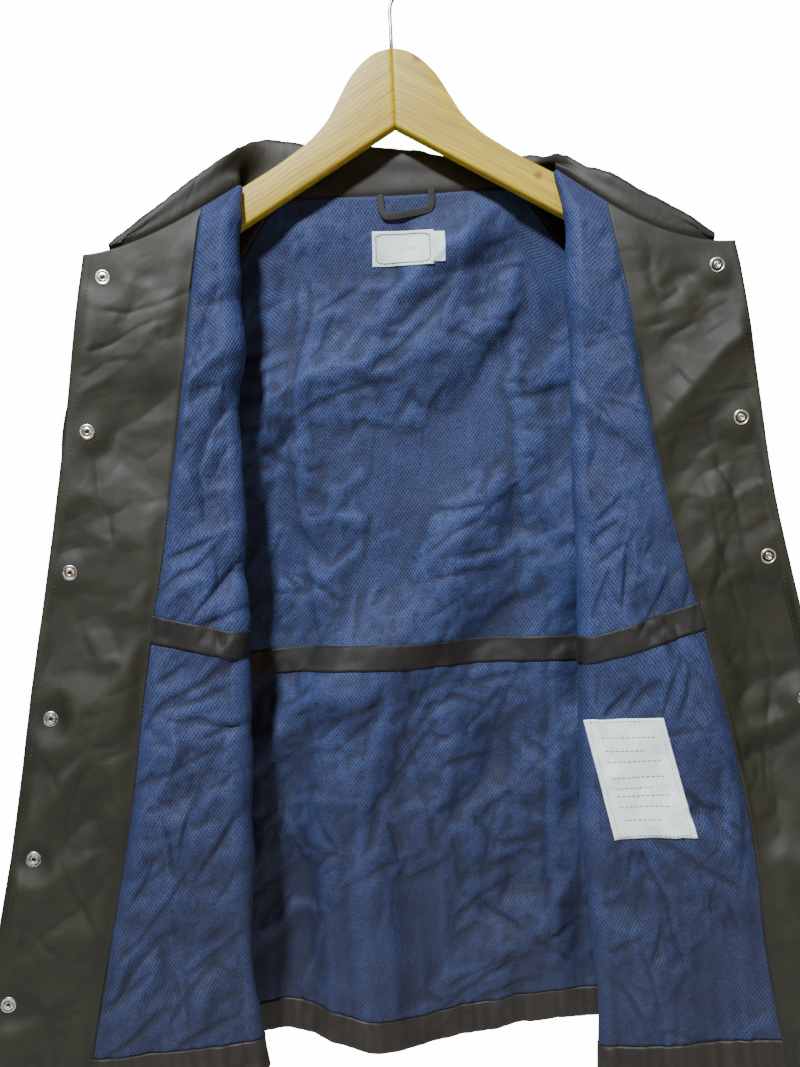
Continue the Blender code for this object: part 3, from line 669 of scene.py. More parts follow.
def clothPlace(tree):
    # The cloth's own thread lengths in metres, together and apart.
    uv = node(tree, "UVMap", uv_map="UVMap")
    apart = node(tree, "SeparateXYZ", uv).node.outputs
    return uv, apart[0], apart[1]


def wave(tree, length, period):
    # A cosine along one length, from 0 to 1, once in every period.
    turns = node(tree, "Math", length, 2 * math.pi / period, operation="MULTIPLY")
    turn = node(tree, "Math", turns, operation="COSINE")
    return node(tree, "Math", turn, 0.5, 0.5, operation="MULTIPLY_ADD")


def clouded(tree, place, scale, detail, stops, rough=0.5):
    # Clouds of noise at a scale, given tones or greys from low to high.
    looks = {"Scale": scale, "Detail": detail, "Roughness": rough}
    return node(tree, "ValToRGB", node(tree, "TexNoise", place, inputs=looks), stops=stops)


def shaded(tree, colour, *shades):
    # A colour multiplied by each shade in turn.
    for shade in shades:
        values = {0: 1.0, 6: colour, 7: shade}
        colour = node(tree, "Mix", inputs=values, out=2, data_type="RGBA", blend_type="MULTIPLY")
    return colour


# The painted shade in crease valleys and the painted light on their ridges go no further than
# these.
creaseShadeLook = {"least": 0.62, "most": 1.3}


def creaseShaded(tree, colour, amount):
    # Crease ridges are painted lighter and their valleys darker, by how far the cloth stands out
    # there: painted light and shade.
    fold = node(tree, "Attribute", out="Fac", attribute_name="fold")
    shade = node(tree, "Math", fold, amount, 1.0, operation="MULTIPLY_ADD")
    shade = node(tree, "Math", shade, creaseShadeLook["least"], operation="MAXIMUM")
    return shaded(tree, colour, node(tree, "Math", shade, creaseShadeLook["most"], operation="MINIMUM"))


def finish(tree, surface, colour, height, strength, distance):
    # Gives the shader its colour, and a bump from the height with its distance in metres.
    tree.links.new(colour, surface["Base Color"])
    bump = node(tree, "Bump", inputs={"Strength": strength, "Distance": distance, "Height": height})
    tree.links.new(bump, surface["Normal"])


# Patterns are scaled in turns a metre, so crinkles of 15, 34 and 80 are about 65, 30 and 12 mm
# apart. Each size has its scale, turn and share.
crinkleLook = {
    "sizes": ((15.0, 0.6, 1.0), (34.0, -0.5, 0.45), (80.0, 0.2, 0.2)),
    "along": 1.6,
    "across": 0.8,
    "steep": 7.0,
}


def crinkles(tree, uv, weight):
    # Fine sharp creases in the finish: noise folded at its middle value, at three sizes.
    total = 0.0
    for scale, turn, share in crinkleLook["sizes"]:
        size = (scale * crinkleLook["along"], scale * crinkleLook["across"], 1.0)
        drawn = node(tree, "Mapping", uv, inputs={"Rotation": (0, 0, turn), "Scale": size})
        looks = {"Scale": 1.0, "Detail": 1.0, "Distortion": 0.5}
        sharp = node(tree, "TexNoise", drawn, inputs=looks)
        for operation, value in (
            ("SUBTRACT", 0.5),
            ("ABSOLUTE", 0.0),
            ("MULTIPLY", crinkleLook["steep"]),
            ("MINIMUM", 1.0),
            ("MULTIPLY", share * weight),
            ("ADD", total),
        ):
            sharp = node(tree, "Math", sharp, value, operation=operation)
        total = sharp
    return total


nylonThread = 0.0011  # the real threads are 0.4 mm apart, drawn coarser so that they show
# Crinkle is how deep the fine creases are; the last number is how strong the painted light on their
# ridges and the painted shade in their valleys are, turned round below 0.
nylonLooks = {
    "shell": {"dark": "#110e04", "light": "#1b1709", "rough": 0.62}
    | {"sheen": 0.03, "crinkle": 0.2, "creaseShade": 0.9},
    "facing": {"dark": "#161709", "light": "#222414", "rough": 0.64}
    | {"sheen": 0.05, "crinkle": 0.16, "creaseShade": -1.1},
    "casing": {"dark": "#1a1510", "light": "#27211a", "rough": 0.6}
    | {"sheen": 0.06, "crinkle": 0.35, "creaseShade": -1.1},
    "loop": {"dark": "#0b0b07", "light": "#14130e", "rough": 0.7}
    | {"sheen": 0.03, "crinkle": 0.1, "creaseShade": 0},
    "tape": {"dark": "#0d0d09", "light": "#181812", "rough": 0.66}
    | {"sheen": 0.04, "crinkle": 0.2, "creaseShade": -0.9},
}


def nylon(name, look):
    # Woven nylon taffeta, calendered: nearly black olive, with a soft greenish shine on its facets.
    shader = {"Roughness": look["rough"], "IOR": 1.47, "Sheen Weight": look["sheen"]}
    shader |= {"Sheen Roughness": 0.4, "Sheen Tint": linear("#8f9a92")}
    material, tree, surface = newMaterial(name, shader)
    uv, across, down = clothPlace(tree)
    tone = clouded(tree, uv, 16.0, 5.0, [(0.32, look["dark"]), (0.7, look["light"])], 0.6)
    threads = [wave(tree, length, nylonThread) for length in (across, down)]
    weave = node(tree, "Math", *threads, operation="MULTIPLY")
    dull = clouded(tree, uv, 240.0, 3.0, [(0.35, 0.8), (0.75, 1.0)])
    gaps = node(tree, "ValToRGB", weave, stops=[(0, 0.82), (0.6, 1)])
    # Painted light and shade: crease ridges lighter, valleys darker.
    colour = creaseShaded(tree, shaded(tree, tone, dull, gaps), look["creaseShade"])
    stops = [(0.3, look["rough"] - 0.07), (0.75, look["rough"] + 0.1)]
    tree.links.new(clouded(tree, uv, 22.0, 3.0, stops), surface["Roughness"])
    relief = node(tree, "Math", weave, 0.05, operation="MULTIPLY")
    relief = node(tree, "Math", crinkles(tree, uv, look["crinkle"]), relief, operation="ADD")
    finish(tree, surface, colour, relief, 0.5, 0.0016)
    return material


# The holes are 2.4 mm apart in life, and drawn at 3.0 by 4.2 mm so that they show.
knit = {
    "across": 0.003,
    "down": 0.0042,
    "wander": 0.0016,
    "torn": 0.9,
    "relief": 0.22,
    "crinkle": 0.35,
    "creaseShade": -1.2,
    # Painted shade: the lining's colour is mixed towards this grey, the more the lower it hangs.
    "hemShade": "#1c1c22",
    "hemShadeStops": [(0.52, 0.0), (0.86, 0.45)],
}


def meshLining(name, dark, light):
    # Warp-knitted polyester mesh: staggered small holes between yarns with a soft sheen, and
    # painted shade that turns it greyer and darker towards the hem.
    shader = {"Roughness": 0.72, "IOR": 1.4, "Sheen Weight": 0.06}
    shader |= {"Sheen Roughness": 0.45, "Sheen Tint": linear("#6f8fe0")}
    material, tree, surface = newMaterial(name, shader)
    uv, *lengths = clothPlace(tree)
    bent = node(tree, "TexNoise", uv, inputs={"Scale": 55.0, "Detail": 2.0}, out="Color")
    pushes = node(tree, "SeparateXYZ", bent).node.outputs
    turns = []
    for length, push, period in zip(lengths, pushes, (knit["across"], knit["down"])):
        for operation, value in (("MULTIPLY", knit["wander"]), ("ADD", length)):
            push = node(tree, "Math", push, value, operation=operation)
        turn = node(tree, "Math", push, 2 * math.pi / period, operation="MULTIPLY")
        turns.append(node(tree, "Math", turn, operation="COSINE"))
    both = node(tree, "Math", *turns, operation="MULTIPLY")
    holes = node(tree, "Math", both, 0.5, 0.5, operation="MULTIPLY_ADD")
    tone = clouded(tree, uv, 20.0, 4.0, [(0.3, dark), (0.72, light)], 0.6)
    loose = clouded(tree, uv, 420.0, 2.0, [(0.3, 0.72), (0.7, 1.0)])
    torn = node(tree, "TexNoise", uv, inputs={"Scale": 300.0, "Detail": 2.0})
    for operation, value in (("SUBTRACT", 0.5), ("MULTIPLY", knit["torn"]), ("ADD", holes)):
        torn = node(tree, "Math", torn, value, operation=operation)
    dark = node(tree, "ValToRGB", torn, stops=[(0.5, 1.0), (0.68, 0.62), (0.9, 0.22)])
    # Painted light and shade: crease ridges and valleys lighter or darker by their fold.
    colour = creaseShaded(tree, shaded(tree, tone, loose, dark), knit["creaseShade"])
    # Painted shade: below a height, the colour is mixed more and more towards a dark grey.
    place = node(tree, "TexCoord", out="Object")
    height = node(tree, "SeparateXYZ", place, out=2)
    below = node(tree, "Math", height, -1.0, operation="MULTIPLY")
    hemShade = node(tree, "ValToRGB", below, stops=knit["hemShadeStops"])
    values = {0: hemShade, 6: colour, 7: linear(knit["hemShade"])}
    colour = node(tree, "Mix", inputs=values, out=2, data_type="RGBA")
    yarn = node(tree, "Math", 1.0, torn, operation="SUBTRACT")
    yarn = node(tree, "Math", yarn, knit["relief"], operation="MULTIPLY")
    creases = crinkles(tree, uv, knit["crinkle"])
    finish(tree, surface, colour, node(tree, "Math", yarn, creases, operation="ADD"), 0.75, 0.0022)
    return material


# Each knot is at x and z on the front face, and has its radius.
wood = {
    "ring": 0.0046,
    "bow": 0.03,
    "tones": [(0.34, "#6a4d06"), (0.52, "#957c08"), (0.78, "#b8a31e")],
    "knot": "#6a4416",
    "knots": [(-0.0235, -0.083, 0.0032), (0.021, -0.1005, 0.0024), (0.118, -0.204, 0.0022)],
    "knotReach": 2.2,
    "front": -0.006,
}


def pine(name):
    # Planed pine under satin lacquer: growth lines along each arm every 4.6 mm, fine dark pores,
    # a few small knots, and a yellow tone that deepens in streaks.
    shader = {"Roughness": 0.5, "IOR": 1.45, "Coat Weight": 0.05, "Coat Roughness": 0.35}
    material, tree, surface = newMaterial(name, shader)
    place = node(tree, "TexCoord", out="Object")
    uv, _, across = clothPlace(tree)
    bands = node(tree, "Mapping", uv, inputs={"Scale": (5.0, 130.0, 1.0)})
    streak = node(tree, "TexNoise", bands, inputs={"Scale": 1.0, "Detail": 5.0, "Roughness": 0.62})
    bow = node(tree, "TexNoise", uv, inputs={"Scale": 9.0, "Detail": 3.0})
    bow = node(tree, "Math", bow, wood["bow"], operation="MULTIPLY")
    rings = wave(tree, node(tree, "Math", across, bow, operation="ADD"), wood["ring"])
    drawn = node(tree, "Mapping", uv, inputs={"Scale": (38.0, 900.0, 1.0)})
    pores = node(tree, "TexNoise", drawn, inputs={"Scale": 1.0, "Detail": 4.0, "Roughness": 0.6})
    blotch = node(tree, "TexNoise", place, inputs={"Scale": 16.0, "Detail": 3.0})
    tone = 0.0
    for part, share in ((rings, 0.04), (pores, 0.4), (blotch, 0.16), (streak, 0.6)):
        tone = node(tree, "Math", part, share, tone, operation="MULTIPLY_ADD")
    colour = node(tree, "ValToRGB", tone, stops=wood["tones"])
    for x, z, size in wood["knots"]:
        apart = node(tree, "VectorMath", place, (x, wood["front"], z), operation="SUBTRACT")
        away = node(tree, "VectorMath", apart, out="Value", operation="LENGTH")
        near = node(tree, "Math", away, size * wood["knotReach"], operation="DIVIDE")
        dark = node(tree, "ValToRGB", near, stops=[(0.0, 1.0), (0.45, 0.75), (1.0, 0.0)])
        values = {0: dark, 6: colour, 7: linear(wood["knot"])}
        colour = node(tree, "Mix", inputs=values, out=2, data_type="RGBA")
    relief = node(tree, "Math", pores, rings, operation="ADD")
    finish(tree, surface, colour, relief, 0.15, 0.0004)
    return material


def plated(name, dark, bright, rough):
    # Plated metal: bright and a little rubbed, so its gloss and tone vary in small clouds.
    material, tree, surface = newMaterial(name, {"Metallic": 1.0, "Roughness": rough})
    place = node(tree, "TexCoord", out="Object")
    wear = node(tree, "TexNoise", place, inputs={"Scale": 700.0, "Detail": 3.0})
    gloss = node(tree, "ValToRGB", wear, stops=[(0.2, rough - 0.08), (0.8, rough + 0.12)])
    tree.links.new(gloss, surface["Roughness"])
    tone = node(tree, "ValToRGB", wear, stops=[(0.3, dark), (0.7, bright)])
    finish(tree, surface, tone, wear, 0.05, 0.0001)
    return material


def ribbon(name, dark, light):
    # Woven satin ribbon, off-white and slightly greyed in patches. Its rib is drawn every 1.2 mm,
    # coarser than it is, so that it shows.
    shader = {"Roughness": 0.5, "IOR": 1.5, "Sheen Weight": 0.1}
    material, tree, surface = newMaterial(name, shader)
    uv, _, down = clothPlace(tree)
    rib = wave(tree, down, 0.0012)
    tone = clouded(tree, uv, 60.0, 4.0, [(0.3, dark), (0.7, light)])
    colour = shaded(tree, tone, node(tree, "ValToRGB", rib, stops=[(0, 0.93), (1, 1)]))
    soft = node(tree, "TexNoise", uv, inputs={"Scale": 120.0, "Detail": 3.0})
    soft = node(tree, "Math", soft, 4.0, operation="MULTIPLY")
    finish(tree, surface, colour, node(tree, "Math", rib, soft, operation="ADD"), 0.25, 0.0004)
    return material


def matt(name, dark, light, rough, scale):
    # Spun polyester thread and uncoated paper: matt, with a little change of tone in small clouds.
    material, tree, surface = newMaterial(name, {"Roughness": rough, "IOR": 1.5})
    place = node(tree, "TexCoord", out="Object")
    tone = clouded(tree, place, scale, 3.0, [(0.3, dark), (0.7, light)])
    tree.links.new(tone, surface["Base Color"])
    return material


threadLook = (0.7, 900.0)  # roughness, and the scale of the twist
materials = {
    "shell": nylon("calenderedNylonShell", nylonLooks["shell"]),
    "facing": nylon("calenderedNylonFacing", nylonLooks["facing"]),
    "casing": nylon("gatheredNylonCasing", nylonLooks["casing"]),
    "tape": nylon("wovenNylonTape", nylonLooks["tape"]),
    "loop": nylon("narrowNylonLoop", nylonLooks["loop"]),
    "lining": meshLining("knittedMeshLining", "#1f2b50", "#314371"),
    "wood": pine("lacqueredPine"),
    "snap": plated("nickelPlatedSnap", "#b4b6b2", "#e8e8e3", 0.28),
    "wire": plated("platedSteelWire", "#a9a59c", "#d5d2ca", 0.32),
    "recess": plated("tarnishedBrassRecess", "#2a2823", "#3d3a33", 0.5),
    "label": ribbon("wovenSatinLabel", "#b4c8c6", "#dae8e6"),
    "patch": ribbon("softSatinLabel", "#c8dad8", "#eefaf8"),
    "thread": matt("darkSewingThread", "#0f0e0b", "#24221d", *threadLook),
    "topstitch": matt("oliveSewingThread", "#2b2a23", "#4a483c", *threadLook),
    "ruling": matt("greySewingThread", "#161a1f", "#2c333b", *threadLook),
}


def settle(obj, kind, *nodes):
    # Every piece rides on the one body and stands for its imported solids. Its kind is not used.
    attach(obj, "root")
    if nodes:
        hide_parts(*nodes)
    return obj


print("materials made")


# Creases that are sewn, pressed or hung into each panel: from (x, z) to (x, z), height, width. Most
# of their ends were worked out by a helper script and pasted in.
backCreases = [
    (-84, -232, -92, -575, 4, 20), (72, -330, 88, -570, 5, 24),
    (114, -580, 104, -890, 6.5, 24), (-30, -600, -70, -900, 3.5, 20),
    (49, -283, 6, -327, 3, 9), (-34, -355, 24, -313, 3, 9),
    (-17, -437, 14, -404, 4.5, 9), (14, -404, 32, -369, 3, 10),
    (-82, -235, -80, -302, 2.2, 8), (-80, -302, -100, -393, 3.2, 9),
    (-100, -393, -31, -366, 3, 9), (-76, -303, -37, -280, 3.2, 8),
    (-129, -297, -96, -285, 2.5, 8), (-137, -360, -102, -345, 2.5, 8),
    (-129, -467, -105, -486, 4, 9), (-105, -486, -75, -523, 4, 9),
    (-75, -523, -53, -506, 3.5, 8), (-59, -590, -42, -489, 4, 8),
    (-42, -489, -30, -460, 3.5, 9), (-41, -561, -14, -532, 3.6, 9),
    (-14, -532, -2, -491, 3.6, 8), (-6, -476, 70, -474, 3.2, 9),
    (36, -322, 64, -335, 2.5, 9), (87, -271, 140, -266, 3, 9),
    (43, -416, 103, -401, 2.2, 9), (-108, -530, -64, -560, 3, 8),
    (-120, -524, -99, -550, 3, 7), (13, -426, 67, -411, 2.0, 9),
    (5, -338, -19, -355, 2.2, 7), (92, -383, 140, -374, 2.2, 9),
    (24, -519, 84, -513, 2.6, 9), (8, -542, 65, -533, 2.4, 8),
    (-135, -413, -94, -439, 2.6, 9), (-94, -439, -68, -434, 2.4, 8),
    (-30, -457, -31, -412, 2.6, 9), (106, -326, 135, -339, 2, 8),
    (67, -256, 103, -241, 1.6, 8), (-89, -675, -53, -648, 4, 9),
    (-75, -665, -36, -641, 3, 8), (-57, -745, -12, -694, 5, 9),
    (-12, -694, 1, -675, 3, 8), (-62, -784, -46, -745, 4.5, 8),
    (-31, -789, -39, -752, 4, 8), (-81, -811, -27, -788, 4, 9),
    (-86, -858, -42, -827, 6, 10), (-42, -827, -24, -789, 4, 9),
    (-127, -760, -108, -803, 4, 10), (-108, -803, -89, -857, 4, 10),
    (-89, -857, -60, -875, 3, 8), (-58, -898, 8, -923, 4, 10),
    (8, -923, 79, -880, 6, 12), (-20, -866, 36, -838, 4, 10),
    (36, -838, 82, -860, 5, 10), (-12, -885, 38, -855, 3.5, 9),
    (2, -909, 77, -874, 3, 8), (26, -927, 100, -903, 3.5, 8),
    (84, -856, 125, -889, 4, 10), (-133, -876, -116, -923, 3, 9),
    (15, -642, 62, -659, 2.4, 9), (-10, -653, 33, -646, 2.2, 8),
    (1, -675, 31, -685, 2.4, 9), (9, -708, 57, -702, 2.6, 9),
    (37, -749, 57, -775, 2.4, 9), (-112, -767, -65, -784, 2.6, 8),
    (101, -866, 138, -849, 4, 9), (116, -885, 148, -902, 3, 8),
    (-92, -737, -82, -774, 3, 9), (85, -682, 120, -717, 3, 9),
    (30, -826, 54, -839, 2.5, 8),
]
flapCreases = {
    "left": [
        (-156, -309, -187, -412, 3, 8), (-143, -378, -161, -407, 3, 8),
        (-161, -407, -174, -442, 3, 8), (-148, -419, -160, -442, 3, 7),
        (-174, -442, -173, -486, 3.5, 7), (-207, -512, -164, -495, 4, 9),
        (-189, -525, -162, -500, 3, 7), (-213, -539, -180, -517, 4, 8),
        (-185, -559, -143, -509, 5, 9), (-180, -565, -140, -549, 4, 8),
        (-151, -277, -156, -312, 2.4, 8), (-180, -338, -170, -361, 2, 8),
        (-217, -611, -191, -594, 4, 8), (-230, -652, -210, -626, 5, 10),
        (-210, -626, -174, -609, 4, 9), (-210, -630, -156, -614, 3.6, 8),
        (-205, -640, -147, -652, 4, 9), (-184, -656, -145, -643, 4, 8),
        (-211, -765, -215, -719, 4.5, 8), (-204, -752, -186, -698, 4, 8),
        (-190, -766, -153, -713, 4.5, 10), (-225, -822, -256, -861, 4.5, 9),
        (-225, -822, -210, -869, 4.5, 9), (-236, -813, -199, -763, 4, 8),
        (-204, -847, -152, -813, 4.5, 10), (-217, -885, -181, -840, 4, 9),
        (-274, -873, -241, -851, 4, 9), (-273, -910, -226, -876, 4.5, 9),
        (-218, -909, -167, -885, 4.5, 9), (-182, -840, -151, -861, 3, 8),
        (-245, -788, -224, -751, 3, 8), (-170, -699, -148, -678, 3.5, 8),
        (-235, -696, -221, -680, 2.5, 7),
    ],
    "right": [
        (147, -496, 170, -474, 3, 7), (133, -524, 165, -497, 3.5, 7),
        (149, -530, 167, -516, 3.5, 7), (185, -525, 197, -510, 3, 7),
        (197, -510, 212, -498, 3, 7), (164, -567, 171, -518, 4, 7),
        (179, -585, 217, -516, 4.5, 8), (194, -567, 211, -527, 3.5, 6),
        (136, -583, 155, -537, 3.5, 7), (213, -573, 220, -538, 3, 6),
        (156, -398, 188, -411, 1.6, 9), (142, -354, 180, -345, 1.4, 9),
        (146, -654, 168, -634, 4, 8), (165, -653, 192, -626, 4, 8),
        (193, -653, 204, -619, 4, 7), (206, -655, 215, -622, 3.5, 7),
        (203, -734, 244, -736, 3.5, 9), (195, -761, 251, -799, 3.5, 9),
        (171, -766, 185, -798, 5, 9), (185, -798, 192, -833, 5, 9),
        (192, -833, 202, -865, 5, 9), (202, -865, 217, -888, 4.5, 9),
        (239, -812, 243, -856, 4.5, 8), (265, -794, 284, -896, 4, 9),
        (249, -834, 282, -864, 4, 9), (144, -870, 165, -902, 4, 9),
        (138, -927, 188, -915, 4.5, 8), (188, -915, 283, -927, 4.5, 8),
        (235, -683, 256, -720, 3, 9), (211, -718, 247, -763, 3.5, 9),
        (246, -790, 252, -731, 3.5, 9), (159, -789, 164, -764, 3, 7),
        (136, -850, 165, -835, 3, 8), (174, -858, 184, -825, 3.5, 7),
        (193, -919, 197, -878, 3.5, 7), (212, -920, 236, -888, 3.5, 8),
        (246, -902, 280, -882, 3.5, 9),
    ],
}
facingCreases = {
    "left": [
        (-245, -307, -218, -309, 3.5, 7), (-218, -309, -200, -305, 3, 6),
        (-200, -305, -171, -291, 3, 7), (-258, -340, -228, -329, 4, 8),
        (-228, -329, -204, -318, 3.5, 7), (-200, -312, -197, -338, 3, 6),
        (-263, -361, -245, -349, 3, 8), (-245, -349, -219, -348, 2.5, 7),
        (-212, -267, -203, -261, 2, 5), (-246, -496, -255, -460, 2.5, 9),
        (-256, -428, -255, -460, 2.5, 9), (-290, -503, -268, -495, 2.2, 8),
        (-243, -458, -246, -496, 2, 9), (-301, -613, -259, -639, 2.5, 10),
        (-258, -620, -224, -602, 3, 8), (-268, -669, -238, -660, 4.5, 8),
        (-314, -656, -288, -708, 3.5, 9), (-297, -751, -262, -826, 6, 10),
        (-268, -669, -291, -714, 3.5, 10), (-291, -714, -298, -751, 3, 8),
        (-326, -799, -295, -830, 3.5, 9), (-259, -694, -246, -716, 3, 9),
        (-338, -823, -317, -783, 3, 9), (-320, -845, -299, -860, 3, 10),
        (-316, -873, -275, -864, 2.6, 9), (-283, -649, -256, -639, 2.5, 9),
        (-274, -563, -264, -590, 2.5, 8),
    ],
    "right": [
        (216, -373, 238, -400, 4.5, 7), (242, -400, 284, -394, 3, 7),
        (206, -323, 226, -309, 3.5, 7), (213, -349, 235, -337, 3.5, 7),
        (241, -335, 265, -323, 2.6, 7), (242, -352, 265, -336, 3, 7),
        (222, -414, 241, -412, 3.5, 7), (208, -396, 217, -415, 3, 8),
        (188, -341, 212, -337, 3, 7), (202, -276, 207, -325, 2.4, 9),
        (172, -280, 202, -279, 2.4, 7), (241, -418, 247, -443, 4.5, 6),
        (247, -443, 257, -473, 4.5, 6), (257, -473, 264, -510, 4.5, 7),
        (264, -510, 275, -555, 4.5, 7), (251, -516, 263, -583, 4, 8),
        (236, -461, 243, -495, 3, 5), (243, -495, 254, -548, 3, 5),
        (242, -623, 259, -602, 3.5, 8), (246, -642, 262, -662, 4, 8),
        (251, -648, 271, -635, 3.5, 8), (261, -667, 277, -684, 4, 7),
        (276, -595, 285, -631, 4, 7), (285, -631, 275, -720, 4, 7),
        (258, -727, 268, -703, 4, 7), (277, -679, 294, -664, 2.6, 9),
        (276, -817, 289, -829, 2.2, 9), (251, -667, 264, -719, 3, 8),
    ],
}
drape = {
    "stand": 6.0,
    "most": 40,
    "hidden": 0.3,
    # Height, width and seed of the gathers and of the hem's wave, and the rows where they start.
    "gather": (1.8, 8, 61),
    "hemWave": (1.8, 26, 62),
    "gatherRows": (10.4, 11.4),
    "gatherLift": 0.6,
    # How tall, slim and sloping the placed creases are drawn.
    "back": (-0.8, 0.34, 0.62),
    "flap": (-0.8, 0.34, 0.62),
    "facing": (-0.3, 0.24, 0.6),
}
chance = {
    "back": [
        ((-260, 260, -950, -260), 34, 11, 48, 26, 110, -1.6, 3.2),
        ((-260, 260, -950, -230), 90, 12, 32, 40, 45, -1.2, 2.2),
    ],
    "left": [
        ((-380, -130, -960, -215), 20, 21, 62, 22, 95, -1.5, 3.2),
        ((-380, -130, -960, -215), 60, 22, 50, 36, 40, -1.2, 2.2),
    ],
    "right": [
        ((130, 380, -970, -430), 20, 31, -66, 22, 95, -1.5, 3.2),
        ((130, 380, -970, -440), 60, 32, 72, 36, 40, -1.2, 2.2),
    ],
    "facing": [((-400, 400, -960, -215), 30, 42, 30, 60, 40, -0.3, 2)],
    "shell": [((-290, 290, -950, -230), 40, 51, 60, 40, 150, 1.4, 16)],
}
crumples = {
    "back": [(80, 0.3, 71, 62, 2.0), (36, 0.4, 74, 40, 1.7)]
    + [(17, 0.26, 77, 20, 1.5), (9, 0.14, 79, 60, 1.4)],
    "left": [(66, 0.3, 81, 66, 2.2), (30, 0.42, 84, 52, 1.8)]
    + [(15, 0.26, 87, 40, 1.5), (8, 0.14, 89, 60, 1.4)],
    "right": [(66, 0.26, 91, -66, 2.2), (30, 0.36, 94, -56, 1.8)]
    + [(15, 0.22, 97, 70, 1.5), (8, 0.12, 99, 60, 1.4)],
    "facing": [(95, 0.2, 171, 62, 1.7), (42, 0.25, 174, 40, 1.5), (19, 0.15, 177, 20, 1.4)],
    "shell": [(110, 0.08, 181, 70, 1.8), (50, 0.06, 184, 40, 1.6)],
    "collar": [(42, 0.14, 191, 70, 1.6), (18, 0.12, 194, 20, 1.5)],
}
# The back hangs in long folds, given by their crests across it, which lean to the right above the
# tape, and in finer ones towards the hem: height, width, length and seed.
backFolds = {
    "x": [-290, -170, -112, -60, 14, 66, 108, 150, 290],
    "height": [0, 5, -2, 0, 7, -2, 9, 0, 0],
    "lean": (0.37, -595, 200),
    "from": (-330, -520),
    "fine": ((6.5, 38, 300, 41), (3.2, 17, 170, 42)),
    "fineFrom": (-560, -820),
    "calm": (-4, 50),
    "calmX": [0, 103, 136, 171, 205, 239, 273],
    "calmZ": [-206, -206, -253, -303, -352, -400, -449],
    "sides": (225, 268),
    "edge": 0.85,
}
flapFolds = {
    "fine": ((3.4, 24, 260, 30), (1.6, 11, 150, 31)),
    "fineFrom": (-620, -860),
    "lean": 400,
    "seeds": {"left": 100, "right": 200},
    "hidden": (0, 2.5),
    "turned": (6.5, 9.4),
    "facing": (11.7, 12.1),
    "seam": (0.6, 0.3),
    "rim": (0.85, 14.3, 15),
    "top": (-3, 38),
    "snap": (4, 24),
}


def chanceOf(name, x, z):
    # The height of all the chance creases of a panel.
    return sum(creased(x, z, strewn(*row)) for row in chance[name])


def lifted(height):
    # A lining's own height above the shell, which never falls below it.
    return 0.5 * np.log1p(np.exp(2 * np.minimum(height + drape["stand"], drape["most"])))


def backRelief(grid, lined):
    # Heights towards the inside. Shell and lining share the drape; the lining adds its own creases.
    x, z = grid[..., 0], grid[..., 2]
    h = crumpled(x, z, crumples["shell"]) + chanceOf("shell", x, z)
    fine = 0.0
    for tall, wide, long, seed in backFolds["fine"]:
        fine = fine + tall * noise(x / wide, z / long, seed)
    h = h + smooth(*backFolds["fineFrom"], z) * fine
    lean, low, most = backFolds["lean"]
    leant = x - lean * np.clip(z - low, 0, most)
    h = h + eased(leant, backFolds["x"], backFolds["height"]) * smooth(*backFolds["from"], z)
    if lined:
        own = creased(x, z, backCreases, *drape["back"]) + chanceOf("back", x, z)
        h = h + lifted(own + crumpled(x, z, crumples["back"]))
    top = np.interp(np.abs(x), backFolds["calmX"], backFolds["calmZ"])
    calm = smooth(*backFolds["calm"], top - z)
    return h * calm * (1 - backFolds["edge"] * smooth(*backFolds["sides"], np.abs(x)))


def flapRelief(side, grid, lined):
    # As on the back: the drape of the shell, and the lining's own creases above it.
    x, z = grid[..., 0], grid[..., 2]
    h = crumpled(x, z, crumples["shell"])
    fine = 0.0
    for number, (tall, wide, long, seed) in enumerate(flapFolds["fine"]):
        leant = x / wide + (z / flapFolds["lean"] if number == 0 else 0)
        fine = fine + tall * noise(leant, z / long, flapFolds["seeds"][side] + seed)
    h = h + smooth(*flapFolds["fineFrom"], z) * fine
    if lined:
        own = creased(x, z, flapCreases[side], *drape["flap"]) + chanceOf(side, x, z)
        h = h + lifted(own + crumpled(x, z, crumples[side]))
    return h


def facingRelief(side, grid, lined):
    # Facets and creases, which the snaps press flat around them.
    x, z = grid[..., 0], grid[..., 2]
    h = crumpled(x, z, crumples["facing"])
    if lined:
        h = h + creased(x, z, facingCreases[side], *drape["facing"]) + chanceOf("facing", x, z)
    front = fronts[side]
    share = body["snapInset"] / body["facingWidth"]
    for place in facingPoint(front, share, np.array(front["snaps"], float)):
        h = h * smooth(*flapFolds["snap"], np.hypot(x - place[0], z - place[2]))
    return h


def frontRelief(side, grid, columns, lined):
    # The flap's and facing's creases blend over their seam; the layer behind is calmer.
    column = np.broadcast_to(columns[None, :], grid.shape[:2])
    flap, facing = flapRelief(side, grid, lined), facingRelief(side, grid, lined)
    shown = flap + (facing - flap) * smooth(*flapFolds["facing"], column)
    deep, wide = flapFolds["seam"]
    shown = shown * (1 - deep * np.exp(-(((column - seamColumn) / wide) ** 2)))
    deep, *ends = flapFolds["rim"]
    shown = shown * (1 - deep * smooth(*ends, column))
    hidden = drape["hidden"] * flap * smooth(*flapFolds["hidden"], column)
    mixed = hidden + (shown - hidden) * smooth(*flapFolds["turned"], column)
    top = np.interp(columns, np.arange(16), frontTop(fronts[side], np.arange(16)))
    return mixed * smooth(*flapFolds["top"], top - grid[..., 2])


